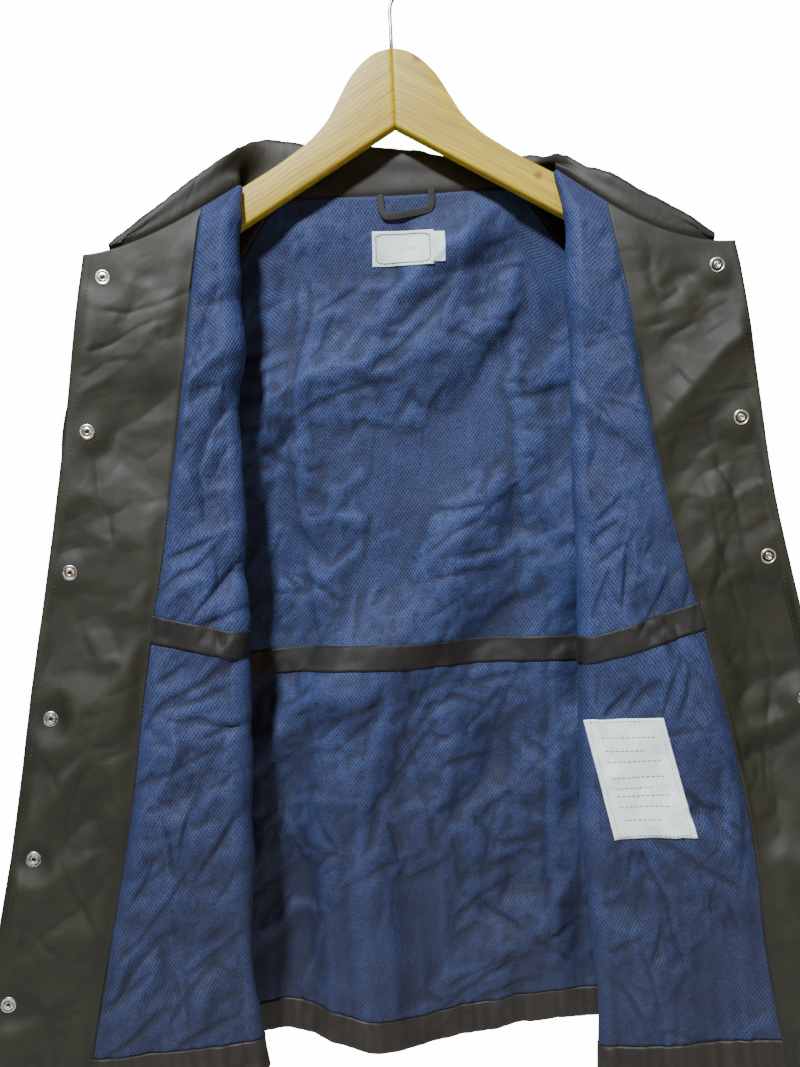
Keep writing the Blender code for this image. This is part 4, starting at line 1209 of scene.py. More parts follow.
tapeRow, casingRow, hemRow, foldColumn, seamColumn, edgeColumn = 6, 11, 12, 9, 12, 15
fineRows = spaced(range(13), [25] * 6 + [10] + [26] * 4 + [11])
shellRows = spaced(range(13), [11] * 6 + [5] + [11] * 4 + [5])
backStops = [-10, -9, -8, 0, 8, 9, 10]
frontStops = [0, 1, 2, 5, foldColumn, seamColumn]
panelColumns = {
    "back": {
        "lining": spaced(backStops, [2, 2, 88, 88, 2, 2]),
        "shell": spaced(backStops, [2, 2, 50, 50, 2, 2]),
    },
    "front": {
        "lining": spaced(frontStops, [2, 2, 6, 9, 74]),
        "facing": spaced([11.94, 13, 14, edgeColumn], [18, 16, 11]),
        "shell": spaced([*frontStops, edgeColumn], [3, 3, 16, 9, 32, 26]),
    },
}


def panelGrid(side, columns, rows, lined=True):
    # The middle surface of a panel and its outward normals, creases and hem gathers included.
    if side == "back":
        grid = backSurface(columns, rows)
        height = backRelief(grid, lined)
    else:
        grid = frontSurface(side, columns, rows)
        height = frontRelief(side, grid, columns, lined)
    drawn = smooth(*drape["gatherRows"], np.asarray(rows, float))[:, None]
    x = grid[..., 0]
    tall, wide, seed = drape["gather"]
    gathers = tall * drawn * (noise(x / wide, 0 * x, seed) + drape["gatherLift"])
    height = height * (1 - drape["gatherLift"] * drawn) + gathers
    tall, wide, seed = drape["hemWave"]
    grid[..., 2] += tall * drawn * noise(x / wide, 0 * x, seed)
    if side == "left":
        grid, height = grid[:, ::-1], height[:, ::-1]
    out = normalsOf(grid)
    grid = grid - out * height[..., None]
    return grid, normalsOf(grid)


def between(rows, low, high):
    # Which rows lie between two of them, both ends included.
    return (rows >= low - 1e-9) & (rows <= high + 1e-9)


def rail(side, column, lift):
    # A line down a panel, a little off its inner face.
    grid, out = panelGrid(side, column + np.array([-0.08, 0, 0.08]), fineRows)
    return grid[:, 1] - out[:, 1] * lift


def course(side, row, lift):
    # A line across a panel, a little off its inner face.
    columns = panelColumns["back" if side == "back" else "front"]["lining"]
    grid, out = panelGrid(side, columns, row + np.array([-0.04, 0, 0.04]))
    return grid[1] - out[1] * lift


# Each layer of a panel: its name, its first and last row, how far it lies off the middle surface,
# and its wall. The shell faces out, and the others in.
layers = {
    "shell": {"name": "shell_{}_cloth", "rows": (0, hemRow), "lift": 0.2, "wall": 0.5},
    "lining": {"name": "lining_{}_mesh", "rows": (0, casingRow), "lift": 0.25, "wall": 0.5},
    "casing": {"name": "hem_casing_{}_cloth", "rows": (casingRow, hemRow)}
    | {"lift": 0.5, "wall": 0.7},
    "tape": {"name": "tape_{}_cloth", "rows": (tapeRow, tapeRow + 1), "lift": 1.2, "wall": 0.6},
    "facing": {"name": "facing_{}_cloth", "rows": (0, hemRow), "lift": 0.85, "wall": 0.6},
}
# The rows of the stitches, or their distance from the front edge, and their lift off the surface.
seamLook = {
    "tape": (0.06, 0.94),
    "tapeLift": 1.95,
    "hem": 0.05,
    "hemLift": 1.4,
    "edge": 7.0,
    "edgeLift": 1.6,
    "facing": 11.93,
    "facingLift": 1.05,
}
# The back lining is in two pieces, which meet behind the tape.
middleRow = tapeRow + 0.5
backLining = {
    "lining_back_upper_mesh": (0, middleRow),
    "lining_back_lower_mesh": (middleRow, casingRow),
}

for side in ("back", "left", "right"):
    columns = panelColumns["back" if side == "back" else "front"]
    for kind, layer in layers.items():
        if side == "back" and kind == "facing":
            continue
        here = columns.get(kind, columns["lining"])
        rows = shellRows if kind == "shell" else fineRows
        rows = rows[between(rows, *layer["rows"])]
        grid, out = panelGrid(side, here, rows, kind != "shell")
        at = int(np.argmin(np.abs(here - (0 if side == "back" else foldColumn))))
        # The facing closes on the shell at the front edge.
        near = np.clip((edgeColumn - here) / 0.15, 0, 1) if kind == "facing" else 0 * here + 1
        if side == "left":
            at, near = len(here) - 1 - at, near[::-1]
        shell = layers["shell"]["lift"]
        reach = shell + (layer["lift"] - shell) * near
        grid = grid - out * (-reach if kind == "shell" else reach)[None, :, None]
        across, down = threadsOf(grid, at)
        name, inward = layer["name"].format(side), kind != "shell"
        bands = backLining if name == "lining_back_mesh" else {name: layer["rows"]}
        for title, band in bands.items():
            keep = between(rows, *band)
            threads = across[keep], down[keep]
            obj = clothPiece(title, grid[keep], materials[kind], layer["wall"], threads, inward)
            settle(obj, kind, name.rsplit("_", 1)[0])
    edges = [course(side, tapeRow + part, seamLook["tapeLift"]) for part in seamLook["tape"]]
    stitchPiece(f"tape_{side}_stitches", edges, "tape")
    seams = [course(side, casingRow + seamLook["hem"], seamLook["hemLift"])]
    stitchPiece(f"hem_{side}_stitches", seams, "top")
    print("panels of", side, "made")

for side, front in fronts.items():
    column = edgeColumn - seamLook["edge"] / front["collarEnd"]
    stitchPiece(f"front_{side}_topstitch", [rail(side, column, seamLook["edgeLift"])], "edge")
    # Where facing meets lining, a nearly unbroken dark thread line stands for the seam and paints
    # its shadow.
    seams = [rail(side, seamLook["facing"], seamLook["facingLift"])]
    stitchPiece(f"facing_{side}_seam", seams, "facingSeam")
print("front edges stitched")


def sleeveEdges(side, rows):
    # The body's seams at these rows of the sleeve, which may lie between two whole rows.
    front = fronts[side]
    sign = front["sign"]
    mirror = np.array([sign, 1, 1])
    backs = backSurface((3 + rows) * sign, [0], body["edgeTrim"])[0] * mirror
    seam = frontSurface(side, 7 - rows, [0], body["edgeTrim"])[0] * mirror
    lift = points(0, 0, body["edgeTrim"] * np.minimum(rows, 1))
    near = np.clip(1 - rows, 0, 1)[:, None]
    low = np.clip(np.minimum(rows - 4, 7 - rows), 0, 1)[:, None]
    backs = backs + lift + near * sleeve["neckStand"] + low * sleeve["rearStand"]
    seam = seam + lift + np.clip(3 - rows, 0, 1)[:, None] * sleeve["frontStand"]
    return backs, seam


def sleeveGrid(side, around):
    # Rows up the cap are quarter ovals from each seam to the ridge; below they are full rings.
    backs, seam = sleeveEdges(side, np.arange(8.0))
    angle = np.radians(90 - 180 * around)
    up = np.abs(np.cos(angle)) ** sleeve["power"]
    deep = np.abs(np.sin(angle)) ** sleeve["power"]
    rows = []
    for i, ridge in enumerate(np.array(sleeve["ridge"], float)):
        foot = np.where(around[:, None] < 0.5, backs[i], seam[i])
        centre = foot * [1, 0, 1] + ridge * [0, 1, 0]
        row = centre + (ridge - centre) * up[:, None] + (foot - centre) * deep[:, None]
        swell = np.clip(np.sin(math.pi * (2 * around - 1)), 0, 1) ** 0.6 * (around > 0.5)
        row[:, 1] -= sleeve["bulge"][i] * swell
        rows.append(row)
    for i, centre, above, rear, atBack, atFront, power in sleeve["underarm"]:
        turn = np.radians(atBack - (atBack + atFront) * around)
        row = centre + np.outer(np.cos(turn), above) + np.outer(np.sin(turn), rear)
        tips = (backs[i], seam[i]) if i < 7 else (np.array(sleeve["point"]),) * 2
        pull = np.outer((1 - around) ** power, tips[0] - row[0])
        pull = pull + np.outer(around**power, tips[1] - row[-1])
        rows.append(row + pull)
    turn = np.radians(sleeve["tubeTurn"] - 360 * around)
    for number, (z, x, y, halfX, halfY) in enumerate(sleeve["tube"]):
        ring = points(x + halfX * np.cos(turn), y + halfY * np.sin(turn), z)
        rows.append(ring + pull * [1, 1, 0] * (0.35 if number == 0 else 0))
    return np.array(rows) * [fronts[side]["sign"], 1, 1]


sleeveLook = {
    "cap": 56,
    "tube": 92,
    "around": 81,
    "joint": 7,
    "wall": 0.6,
    "liningInset": 1.7,
    "liningWall": 0.4,
    "lined": (9, -5),
    "cuffStitches": -10,
    "raglanStitches": (2, -3),
    "stitchLift": 0.75,
    "seed": {"left": 500, "right": 540},
    # Height, size, seed, lean and stretch of the slack folds.
    "folds": ((3.0, 62, 0, 20, 1.7), (1.5, 26, 10, -35, 1.5)),
    # Chance creases: their heights on a sleeve, number, seed, lean, spread, length, rise, width.
    "creases": (
        ((-850, -230), 60, 20, 25, 40, 70, 2.6, 11),
        ((-870, -230), 90, 21, 50, 60, 32, 1.2, 6),
    ),
    "top": 0.8,
    "calm": (0, 40),
    "cuffFrom": (48, 6),
    "cuffCalm": 0.7,
    "cuffEdge": (0, 4),
    "pleat": 9.5,
    "pleatHeight": 1.5,
    "pleatWander": (20, 30),
}


def sleeveRelief(side, grid, across, down):
    # Slack folds over the elbow, drag lines at the armhole and pleats drawn in at the cuff.
    seed = sleeveLook["seed"][side]
    turned = grid[..., 0] + 0.7 * grid[..., 1]
    z = grid[..., 2]
    h, rows = 0.0, []
    for tall, size, own, lean, stretch in sleeveLook["folds"]:
        h = h + tall * crumple(turned, z, size, seed + own, lean, stretch)
    for heights, count, own, *looks in sleeveLook["creases"]:
        rows += strewn((turned.min(), turned.max(), *heights), count, seed + own, *looks)
    h = h - creased(turned, z, rows)
    top = sleeveLook["top"]
    h = top - np.log1p(np.exp(top - h))
    foot = down[-1].mean() - down
    drawn = smooth(*sleeveLook["cuffFrom"], foot)
    wide, own = sleeveLook["pleatWander"]
    wander = 2 * noise(across / wide, 0 * across, seed + own)
    pleats = np.sin(2 * math.pi * across / sleeveLook["pleat"] + wander)
    h = h * smooth(*sleeveLook["calm"], down) * (1 - sleeveLook["cuffCalm"] * drawn)
    pleats = sleeveLook["pleatHeight"] * pleats * drawn
    return h + pleats * smooth(*sleeveLook["cuffEdge"], foot)


coarseSleeves = {}
for side in ("left", "right"):
    sign = fronts[side]["sign"]
    coarse = sleeveGrid(side, np.linspace(0, 1, 17))
    coarseSleeves[side] = coarse if sign > 0 else coarse[:, ::-1]
    # A little denser near the seams, where the oval turns quickly.
    u = np.linspace(0, 1, sleeveLook["around"])
    grid = sleeveGrid(side, u - 0.02 * np.sin(4 * math.pi * u))
    joint = sleeveLook["joint"]
    steps = np.linalg.norm(np.diff(grid, axis=0), axis=-1).mean(axis=1)
    places = np.concatenate([[0], np.cumsum(steps)])
    upper = np.linspace(0, places[joint], sleeveLook["cap"], endpoint=False)
    at = np.concatenate([upper, np.linspace(places[joint], places[-1], sleeveLook["tube"])])
    fine = eased(at, places, grid.reshape(len(grid), -1)).reshape(len(at), -1, 3)
    closed = len(upper)
    # The open edges of the cap follow the body's seams exactly.
    row = np.interp(upper, places, np.arange(len(places)))
    tight = smooth(joint, joint - 0.3, row)[:, None]
    for edge, ends, near in zip(sleeveEdges(side, row), (0, -1), ((1 - u) ** 10, u**10)):
        gap = (edge * [sign, 1, 1] - fine[:closed, ends]) * tight
        fine[:closed] += gap[:, None] * near[None, :, None]
    if sign < 0:
        fine = fine[:, ::-1]
    out = normalsOf(fine, closed)
    middle = sleeveLook["around"] // 2
    across, down = threadsOf(fine, middle)
    edge = np.minimum(across - across[:, :1], across[:, -1:] - across)
    apart = smooth(0, 30, edge)
    apart[closed:] = 1
    height = sleeveRelief(side, fine, across, down)
    height[closed:, -1] = height[closed:, 0]
    fine = fine + out * (height * apart)[..., None]
    out = normalsOf(fine, closed)
    wall, threads = sleeveLook["wall"], (across, down)
    outer = fine + out * wall
    obj = clothPiece(f"sleeve_{side}_cloth", outer, materials["shell"], wall, threads, True, closed)
    settle(obj, "shell", f"sleeve_{side}")
    # The lining is drawn from the elbow bend down, where it can be seen up the cuff.
    start, end = sleeveLook["lined"]
    lined = slice(closed + start, end)
    inner, threads = (fine - out * sleeveLook["liningInset"])[lined], [t[lined] for t in threads]
    wall, name = sleeveLook["liningWall"], f"sleeve_lining_{side}_mesh"
    settle(clothPiece(name, inner, materials["lining"], wall, threads, True, 0), "lining")
    raised = fine + out * sleeveLook["stitchLift"]
    stitchPiece(f"cuff_{side}_stitches", [raised[sleeveLook["cuffStitches"]]], "top")
    edges = [raised[: closed + 1, k] for k in sleeveLook["raglanStitches"]]
    stitchPiece(f"raglan_{side}_topstitch", edges, "top")
    print("sleeve made on the", side)


collarLook = {
    "tuck": 5.0,
    "tuckBack": 1.9,
    "behind": 9.0,
    "rows": 46,
    "columns": 270,
    "seamRow": 4.0,
    "leafInset": 7.0,
    "sideStitches": (5, -6),
    "stitchLift": 0.85,
    "seamLift": 0.8,
    "smoothing": 165,
    "wall": 1.4,
    "aboveSeam": 0.6,
    # Height, width and seed of the ripples of the leaf and of its edge.
    "ripple": (1.3, 15, 60, 631),
    "edge": ((1.6, 17, 641), (0.8, 8, 642)),
}


def collarGrid():
    # The stand starts just behind the neck seam, rises, rolls over a small radius and falls as the
    # leaf.
    halves = {}
    for side, grid in coarseSleeves.items():
        flap = frontSurface(side, np.arange(14, 7, -1), [0])[0]
        over = grid[0, ::2] if side == "left" else grid[0, ::-2]
        halves[side] = np.concatenate([flap, over])
    inner = backSurface(np.arange(-2, 3), [0])[0]
    base = np.concatenate([halves["left"], inner, halves["right"][::-1]])
    steps = np.gradient(base, axis=0)
    for _ in range(3):
        steps[1:-1] = (steps[:-2] + 2 * steps[1:-1] + steps[2:]) / 4
    away = unit(points(-steps[:, 1], steps[:, 0], 0))
    x, y = base[:, 0], base[:, 1]
    radius = eased(np.abs(x), collar["radiusX"], collar["radius"])
    height = eased(x + away[:, 0] * radius, collar["rollX"], collar["rollZ"]) - base[:, 2]
    height = height + collarLook["behind"] * smooth(-14, 4, y) * smooth(84, 112, np.abs(x))
    height = np.maximum(height, collar["leastRoll"] + 2.7)
    leaf = [eased(x, collar["leafX"], collar[k]) for k in ("leafOut", "leafBack", "leafDrop")]
    offset = np.stack(leaf, -1)
    radius = np.minimum(radius, 0.45 * height)
    up = np.array([0, 0, 1.0])
    tucked = away * collarLook["tuckBack"]
    top = base + up * (height - radius)[:, None]
    sections = [base + tucked - up * collarLook["tuck"]]
    sections.append(base + tucked + up * collarLook["aboveSeam"])
    sections.append(base + 0.5 * tucked + up * 2.8)
    sections.append((base + top) / 2 + up * 1.4)
    for degrees in (180, 135, 90, 45, 0):
        angle = math.radians(degrees)
        out = away * (radius * (1 + math.cos(angle)))[:, None]
        sections.append(top + out + up * (radius * math.sin(angle))[:, None])
    rolled = sections[-1]
    sections += [rolled + (base + offset - rolled) * share for share in (0.33, 0.67, 1)]
    return np.array(sections)


grid = refined(collarGrid(), collarLook["rows"], collarLook["columns"])
across, down = threadsOf(grid, collarLook["columns"] // 2)
share = down / down[-1:]
# The corners over the two folds are rounded off above the neck seam.
for _ in range(collarLook["smoothing"]):
    rounder = grid.copy()
    rounder[:, 1:-1] = (grid[:, :-2] + 2 * grid[:, 1:-1] + grid[:, 2:]) / 4
    grid = grid + (rounder - grid) * smooth(0.12, 0.3, share)[..., None]
out = normalsOf(grid)
tall, wide, long, seed = collarLook["ripple"]
ripple = tall * noise(across / wide, down / long, seed) * smooth(60, 130, across)
ripple = crumpled(across, down, crumples["collar"]) + ripple
grid = grid + out * (ripple * smooth(0.2, 0.45, share))[..., None]
ripple = 0.0
for tall, wide, seed in collarLook["edge"]:
    ripple = ripple + tall * noise(across / wide, 0 * across, seed)
grid[..., 2] += ripple * smooth(0.2, 0.4, share)
out = normalsOf(grid)
wall = collarLook["wall"]
outer = grid + out * (wall / 2)
obj = clothPiece("collar_cloth", outer, materials["shell"], wall, (across, down), True)
settle(obj, "shell", "collar")
low = int(np.argmin(np.abs(down[:, 0] - collarLook["tuck"] - collarLook["seamRow"])))
leaf = int(np.argmin(np.abs(down[:, 0] - down[-1, 0] + collarLook["leafInset"])))
lines = [grid[leaf] + out[leaf] * collarLook["stitchLift"]]
under = (grid - out * collarLook["stitchLift"])[leaf::-1][: leaf - low]
lines += [under[:, column] for column in collarLook["sideStitches"]]
stitchPiece("collar_topstitch", lines, "top")
stitchPiece("collar_seam_stitches", [grid[low] - out[low] * collarLook["seamLift"]], "collarSeam")
print("collar made")


def onBack(x, z):
    # The back at x and z.
    share = x / (level(z, "sideX") - body["sideRadius"])
    return backPoint(share, z)


def onFlap(side, x, z):
    # The turned flap at x and z.
    front = fronts[side]
    inner, fold = facingPoint(front, 1, z), foldPoint(front, -90, z)
    share = (x - fold[..., 0]) / (inner[..., 0] - fold[..., 0])
    return flapPoint(front, share, z)


def quad(corners, rows, columns):
    # x and z over a four-cornered patch, from its top left.
    a, b, c, d = np.array(corners, float)
    u, v = np.meshgrid(np.linspace(0, 1, columns), np.linspace(0, 1, rows))
    u, v = u[..., None], v[..., None]
    return (a * (1 - u) + b * u) * (1 - v) + (d * (1 - u) + c * u) * v


def blended(grid, rows, columns):
    # Points of a grid at rows and columns that may lie between whole ones: the nearest four mixed.
    a, b = np.floor(rows).astype(int), np.floor(columns).astype(int)
    p, q = (rows - a)[:, None], (columns - b)[:, None]
    near = grid[a, b] * (1 - p) + grid[a + 1, b] * p
    far = grid[a, b + 1] * (1 - p) + grid[a + 1, b + 1] * p
    return near * (1 - q) + far * q


labels = {
    "neck_label": {
        "corners": [(-24.3, -236.4), (28.6, -238.2), (27.9, -267.6), (-25.3, -266.2)],
        "kind": "label",
        "border": 3.0,
        "stitch": "closeBorder",
        "cut": 3,
        "lift": 1.9,
        "curl": 0.7,
        "wave": 0.2,
    },
    "size_tab": {
        "corners": [(28.4, -239.8), (38.0, -240.4), (37.5, -265.8), (28.0, -265.6)],
        "kind": "label",
        "border": None,
        "lift": 1.5,
        "curl": 0.5,
        "wave": 0.0,
    },
    "care_patch": {
        "corners": [(129.5, -658.5), (192.5, -658), (214, -754), (149.5, -756)],
        "kind": "patch",
        "border": 3.2,
        "stitch": "border",
        "cut": 0,
        "lift": 2.5,
        "curl": 0.9,
        "wave": 1.5,
        "lines": (0.16, 0.27, 0.36, 0.5, 0.58, 0.66, 0.74, 0.86),
    },
}
labelLook = {
    "rows": 46,
    "columns": 34,
    "wall": 0.35,
    # Share, scale and seed of the curl at the edges; size, seed, lean and stretch of the waves.
    "curl": ((1, 1.4, 71), (0.4, 3, 72)),
    "wave": (20, 77, 75, 1.8),
    "waveRest": 0.4,
    "stitchLift": 0.45,
    "borderPoints": 400,
}
for name, label in labels.items():
    onRight = name == "care_patch"
    rows, columns = labelLook["rows"], labelLook["columns"]
    plan = quad(label["corners"], rows, columns)
    x, z = plan[..., 0], plan[..., 1]
    grid = onFlap("right", x, z) if onRight else onBack(x, z)
    out = normalsOf(grid)
    out = out * np.sign(out[..., 1].mean())
    height = flapRelief("right", grid, True) if onRight else backRelief(grid, True)
    grid = grid - out * height[..., None]
    u, v = np.meshgrid(np.linspace(-1, 1, columns), np.linspace(-1, 1, rows))
    edge = np.maximum(np.abs(u), np.abs(v)) ** 6
    curl = 0.0
    for share, scale, seed in labelLook["curl"]:
        curl = curl + share * noise(u * scale, v * scale, seed)
    lift = label["lift"] + label["curl"] * curl * edge
    waves = crumple(x, z, *labelLook["wave"]) - labelLook["waveRest"]
    lift = lift + label["wave"] * waves
    grid = grid - out * lift[..., None]
    across, down = threadsOf(grid, columns // 2)
    flip = float(np.cross(grid[0, 1] - grid[0, 0], grid[1, 0] - grid[0, 0]) @ out[0, 0]) > 0
    cloth, wall = materials[label["kind"]], labelLook["wall"]
    obj = clothPiece(name + "_cloth", grid, cloth, wall, (across, down), not flip)
    settle(obj, label["kind"], name)
    if not label["border"]:
        continue
    # A border with cut corners, at its distance from the edges, and the ruled lines inside it.
    raised = grid - out * labelLook["stitchLift"]
    steps = down[-1, 0] / (rows - 1), (across[0, -1] - across[0, 0]) / (columns - 1)
    low, left = (int(round(label["border"] / step)) for step in steps)
    high, right, cut = rows - 1 - low, columns - 1 - left, label["cut"]
    path = [(low + cut, left), (low, left + cut), (low, right - cut), (low + cut, right)]
    path += [(high - cut, right), (high, right - cut), (high, left + cut), (high - cut, left)]
    path = np.array([*path, path[0]], float)
    run, corners = np.linspace(0, len(path) - 1, labelLook["borderPoints"]), np.arange(len(path))
    border = blended(raised, *(np.interp(run, corners, path[:, k]) for k in (0, 1)))
    stitchPiece(name + "_border", [border], label["stitch"])
    if "lines" in label:
        lines = []
        for number, share in enumerate(label["lines"]):
            end = right - 2 - (6 if number % 3 == 1 else 0)
            lines.append(raised[int((rows - 1) * share), left + 3 : end])
        stitchPiece(name + "_ruling", lines, "ruling")
print("labels made")

hangLoop = {
    "path": [(-15.9, -206.5), (-15.4, -213), (-14.6, -220), (-12, -224.8), (-4, -225.2)]
    + [(8, -224.0), (20, -222.4), (26.4, -220.4), (28.4, -215.6), (28.6, -210), (28.8, -203.5)],
    "lift": [1.0, 1.7, 2.4, 3.0, 3.4, 3.6, 3.4, 3.0, 2.4, 1.7, 1.0],
    "width": 6.2,
    "wall": 0.7,
    "crown": 0.08,
    "rows": 90,
    "columns": 9,
}
path = np.array(hangLoop["path"], float)
run = np.concatenate([[0], np.cumsum(np.linalg.norm(np.diff(path, axis=0), axis=-1))])
at = np.linspace(0, run[-1], hangLoop["rows"])
middle = eased(at, run, path)
steps = unit(np.gradient(middle, axis=0))
sideways = np.stack([-steps[:, 1], steps[:, 0]], -1)
shares = np.linspace(-0.5, 0.5, hangLoop["columns"])
plan = middle[:, None] + sideways[:, None] * shares[None, :, None] * hangLoop["width"]
grid = onBack(plan[..., 0], plan[..., 1])
crown = hangLoop["crown"] * np.cos(shares * math.pi)[None, :]
lift = eased(at, run, hangLoop["lift"])[:, None] + crown
grid = grid - np.array([0, 1.0, 0]) * lift[..., None]
threads = threadsOf(grid, hangLoop["columns"] // 2)
flip = float(np.cross(grid[0, 1] - grid[0, 0], grid[1, 0] - grid[0, 0])[1]) > 0
obj = clothPiece("hang_loop_tape", grid, materials["loop"], hangLoop["wall"], threads, not flip)
settle(obj, "loop", "hang_loop")

# A narrow folded tag caught in the side seam, which looks out past the right fold.
tagLook = {
    "centre": (131.5, -14, -782),
    "width": 10.4,
    "height": 11,
    "rows": 12,
    "columns": 10,
    "wall": 0.35,
    "bow": 3,
    "twist": 4,
    "lean": 2,
    "drop": 3,
}
x, y, z = tagLook["centre"]
u, v = (np.linspace(-0.5, 0.5, tagLook[k]) for k in ("columns", "rows"))
u, v = np.meshgrid(u, v)
grid = points(
    x + tagLook["width"] * u + tagLook["lean"] * v,
    y + tagLook["bow"] * np.cos(u * 3) - tagLook["twist"] * u * v,
    z - tagLook["height"] * v - tagLook["drop"] * u,
)
threads = threadsOf(grid, tagLook["columns"] // 2)
obj = clothPiece("side_tag_cloth", grid, materials["patch"], tagLook["wall"], threads, True)
settle(obj, "patch")
print("loop and tag made")

# Profiles of radius and height. The lift keeps a snap above the cloth, and the cap sits in it.
snapLook = {
    "sides": 32,
    "lift": 1.35,
    "capSink": 0.6,
    "reach": 6.0,
    "inner": [(0.01, 0), (6.2, 0), (6.35, 0.25), (6.25, 0.65), (5.9, 0.95), (5.5, 1.05)]
    + [(5.1, 0.95), (4.75, 0.7), (4.55, 0.3), (4.3, 0.12), (3.6, 0.1), (3.2, 0.15), (2.95, 0.5)]
    + [(2.9, 1.5), (2.7, 1.95), (2.35, 2.1), (1.95, 2.0), (1.75, 1.5), (1.6, 0.5), (1.2, 0.25)]
    + [(0.01, 0.2)],
    "ring": [(0.01, 0), (6.2, 0), (6.35, 0.25), (6.25, 0.7), (5.9, 1.0), (5.4, 1.12), (4.8, 1.05)]
    + [(4.4, 0.85), (3.9, 0.8), (3.4, 0.95), (2.9, 1.2), (2.3, 1.25), (1.75, 1.15), (1.5, 0.7)]
    + [(1.35, 0.25), (0.01, 0.15)],
    "innerRecess": [(3.0, 0.05), (3.0, 0.3), (4.35, 0.3), (4.45, 0.05)],
    "ringRecess": [(0.01, 0.1), (0.01, 0.32), (1.55, 0.32), (1.6, 0.1)],
    "outer": [(0.01, 0), (6.2, 0), (6.3, 0.2), (6.1, 0.5), (5.4, 0.9), (4.4, 1.1), (2.6, 1.25)]
    + [(0.01, 1.3)],
}


def snapPiece(name, place, normal, profile, solid, kind="snap"):
    # A profile of radius and height, turned once round the snap's own axis.
    profile = np.array(profile, float)
    angle = np.linspace(0, 2 * math.pi, snapLook["sides"], endpoint=False)
    x, y = (profile[:, None, 0] * f(angle) for f in (np.cos, np.sin))
    rings = points(x, y, profile[:, None, 1])
    turn = np.array(Vector((0, 0, 1)).rotation_difference(Vector(normal)).to_matrix())
    made = barPiece(name, rings @ turn.T + place, materials[kind])
    settle(made, kind, *([solid] if solid else []))


reach = np.array([1, 0, -1]) * snapLook["reach"]
for side, front in fronts.items():
    kind = "ring" if side == "left" else "inner"
    column = np.array([edgeColumn - body["snapInset"] / front["collarEnd"]])
    for number, z in enumerate(front["snaps"], 1):
        shares = (body["snapInset"] + reach) / body["facingWidth"]
        grid = np.stack([facingPoint(front, share, z + reach) for share in shares], axis=1)
        centre = grid[1, 1]
        normal = unit(np.cross(grid[1, 2] - grid[1, 0], grid[2, 1] - grid[0, 1]))
        normal = normal if normal[1] > 0 else -normal
        here = centre[None, None]
        inside = float(frontRelief(side, here, column, True)[0, 0])
        outside = float(frontRelief(side, here, column, False)[0, 0])
        name = f"snap_{side}_{number}"
        place = centre - normal * (inside + snapLook["lift"])
        snapPiece(name + "_socket", place, -normal, snapLook[kind], name + "_inner")
        snapPiece(name + "_recess", place, -normal, snapLook[kind + "Recess"], None, "recess")
        place = centre - normal * (outside - snapLook["capSink"])
        snapPiece(name + "_cap", place, normal, snapLook["outer"], name + "_outer")
print("snaps made")


def hangerArm(sign):
    # Rounded bars between the upper and lower outline; the far end closes in an oval.
    slope = math.tan(math.radians(hanger["slope"]))
    reach = hanger["end"] - hanger["endReach"]
    lastX, lastZ = hanger["top"][-1]
    straight = [(x, lastZ - (x - lastX) * slope) for x in (165, reach)]
    tops = np.array(hanger["top"] + straight)
    start, long, drop = hanger["oval"]
    straightSteps, ovalSteps = hanger["steps"]
    oval = start + long * np.sin(np.linspace(0.02, 0.5, ovalSteps) * math.pi)
    u = np.concatenate([np.linspace(0.02, start, straightSteps), oval])
    along = np.minimum(u, start)
    top = eased(along, tops[:, 0], tops[:, 1])
    low = hanger["notch"] - hanger["underSlope"] * along
    beyond = np.clip((u - start) / long, 0, 1)
    close = np.sqrt(np.clip(1 - beyond**2, 0, 1))
    middle, half = (top + low) / 2, (top - low) / 2 * np.maximum(close, 0.02)
    middle = middle - np.clip(u - start, 0, None) * drop
    depth = hanger["halfDepth"] * (0.35 + 0.65 * close**0.7)
    depth = depth * (0.86 + 0.14 * smooth(0.2, 2.2, u))
    # Four straight faces with rounded corners.
    corner = np.radians(np.arange(0, 91, 15))
    parts = []
    for k, (sy, sz) in enumerate(((1, 1), (-1, 1), (-1, -1), (1, -1))):
        turn = corner + k * math.pi / 2
        edge = np.minimum(hanger["corner"], np.minimum(depth, half) * 0.95)[:, None]
        y = sy * (depth[:, None] - edge) + edge * np.cos(turn)
        z = sz * (half[:, None] - edge) + edge * np.sin(turn)
        parts.append(np.stack([y, z], -1))
    section = np.concatenate(parts, axis=1)
    return points(sign * u[:, None], section[..., 0], middle[:, None] + section[..., 1])


# How the grain is stretched along an arm and slants across it, and how far the arms' grain differs.
grain = {"along": 1.16, "shift": 20, "slant": (0.59, 0.4), "rightShift": 7}
for side, sign in (("left", -1), ("right", 1)):
    rings = hangerArm(sign)
    flat = rings.reshape(-1, 3)
    slantX, slantY = grain["slant"]
    slanted = flat[:, 2] + slantX * np.abs(flat[:, 0]) + slantY * flat[:, 1]
    slanted = slanted + (grain["rightShift"] if sign > 0 else 0)
    uvs = np.stack([flat[:, 0] * grain["along"] + sign * grain["shift"], slanted], -1) * mm
    obj = barPiece(f"hanger_arm_{side}_wood", rings, materials["wood"], uvs)
    settle(obj, "wood", f"hanger_arm_{side}")

stem = [(0, 0, hanger["stemFoot"]), *((x, 0, z) for x, z in hanger["stem"])]
turn = np.radians(np.arange(-48, 206, 6))
radius = hanger["hookRadius"]
hook = points(radius * np.cos(turn), 0, hanger["hookCentre"] + radius * np.sin(turn))
path = np.concatenate([np.array(stem, float), hook])
rings = tubeRings(path, hanger["wireRadius"], hanger["wireSides"])
settle(barPiece("hanger_hook_wire", rings, materials["wire"]), "wire", "hanger_hook")
print("hanger made")


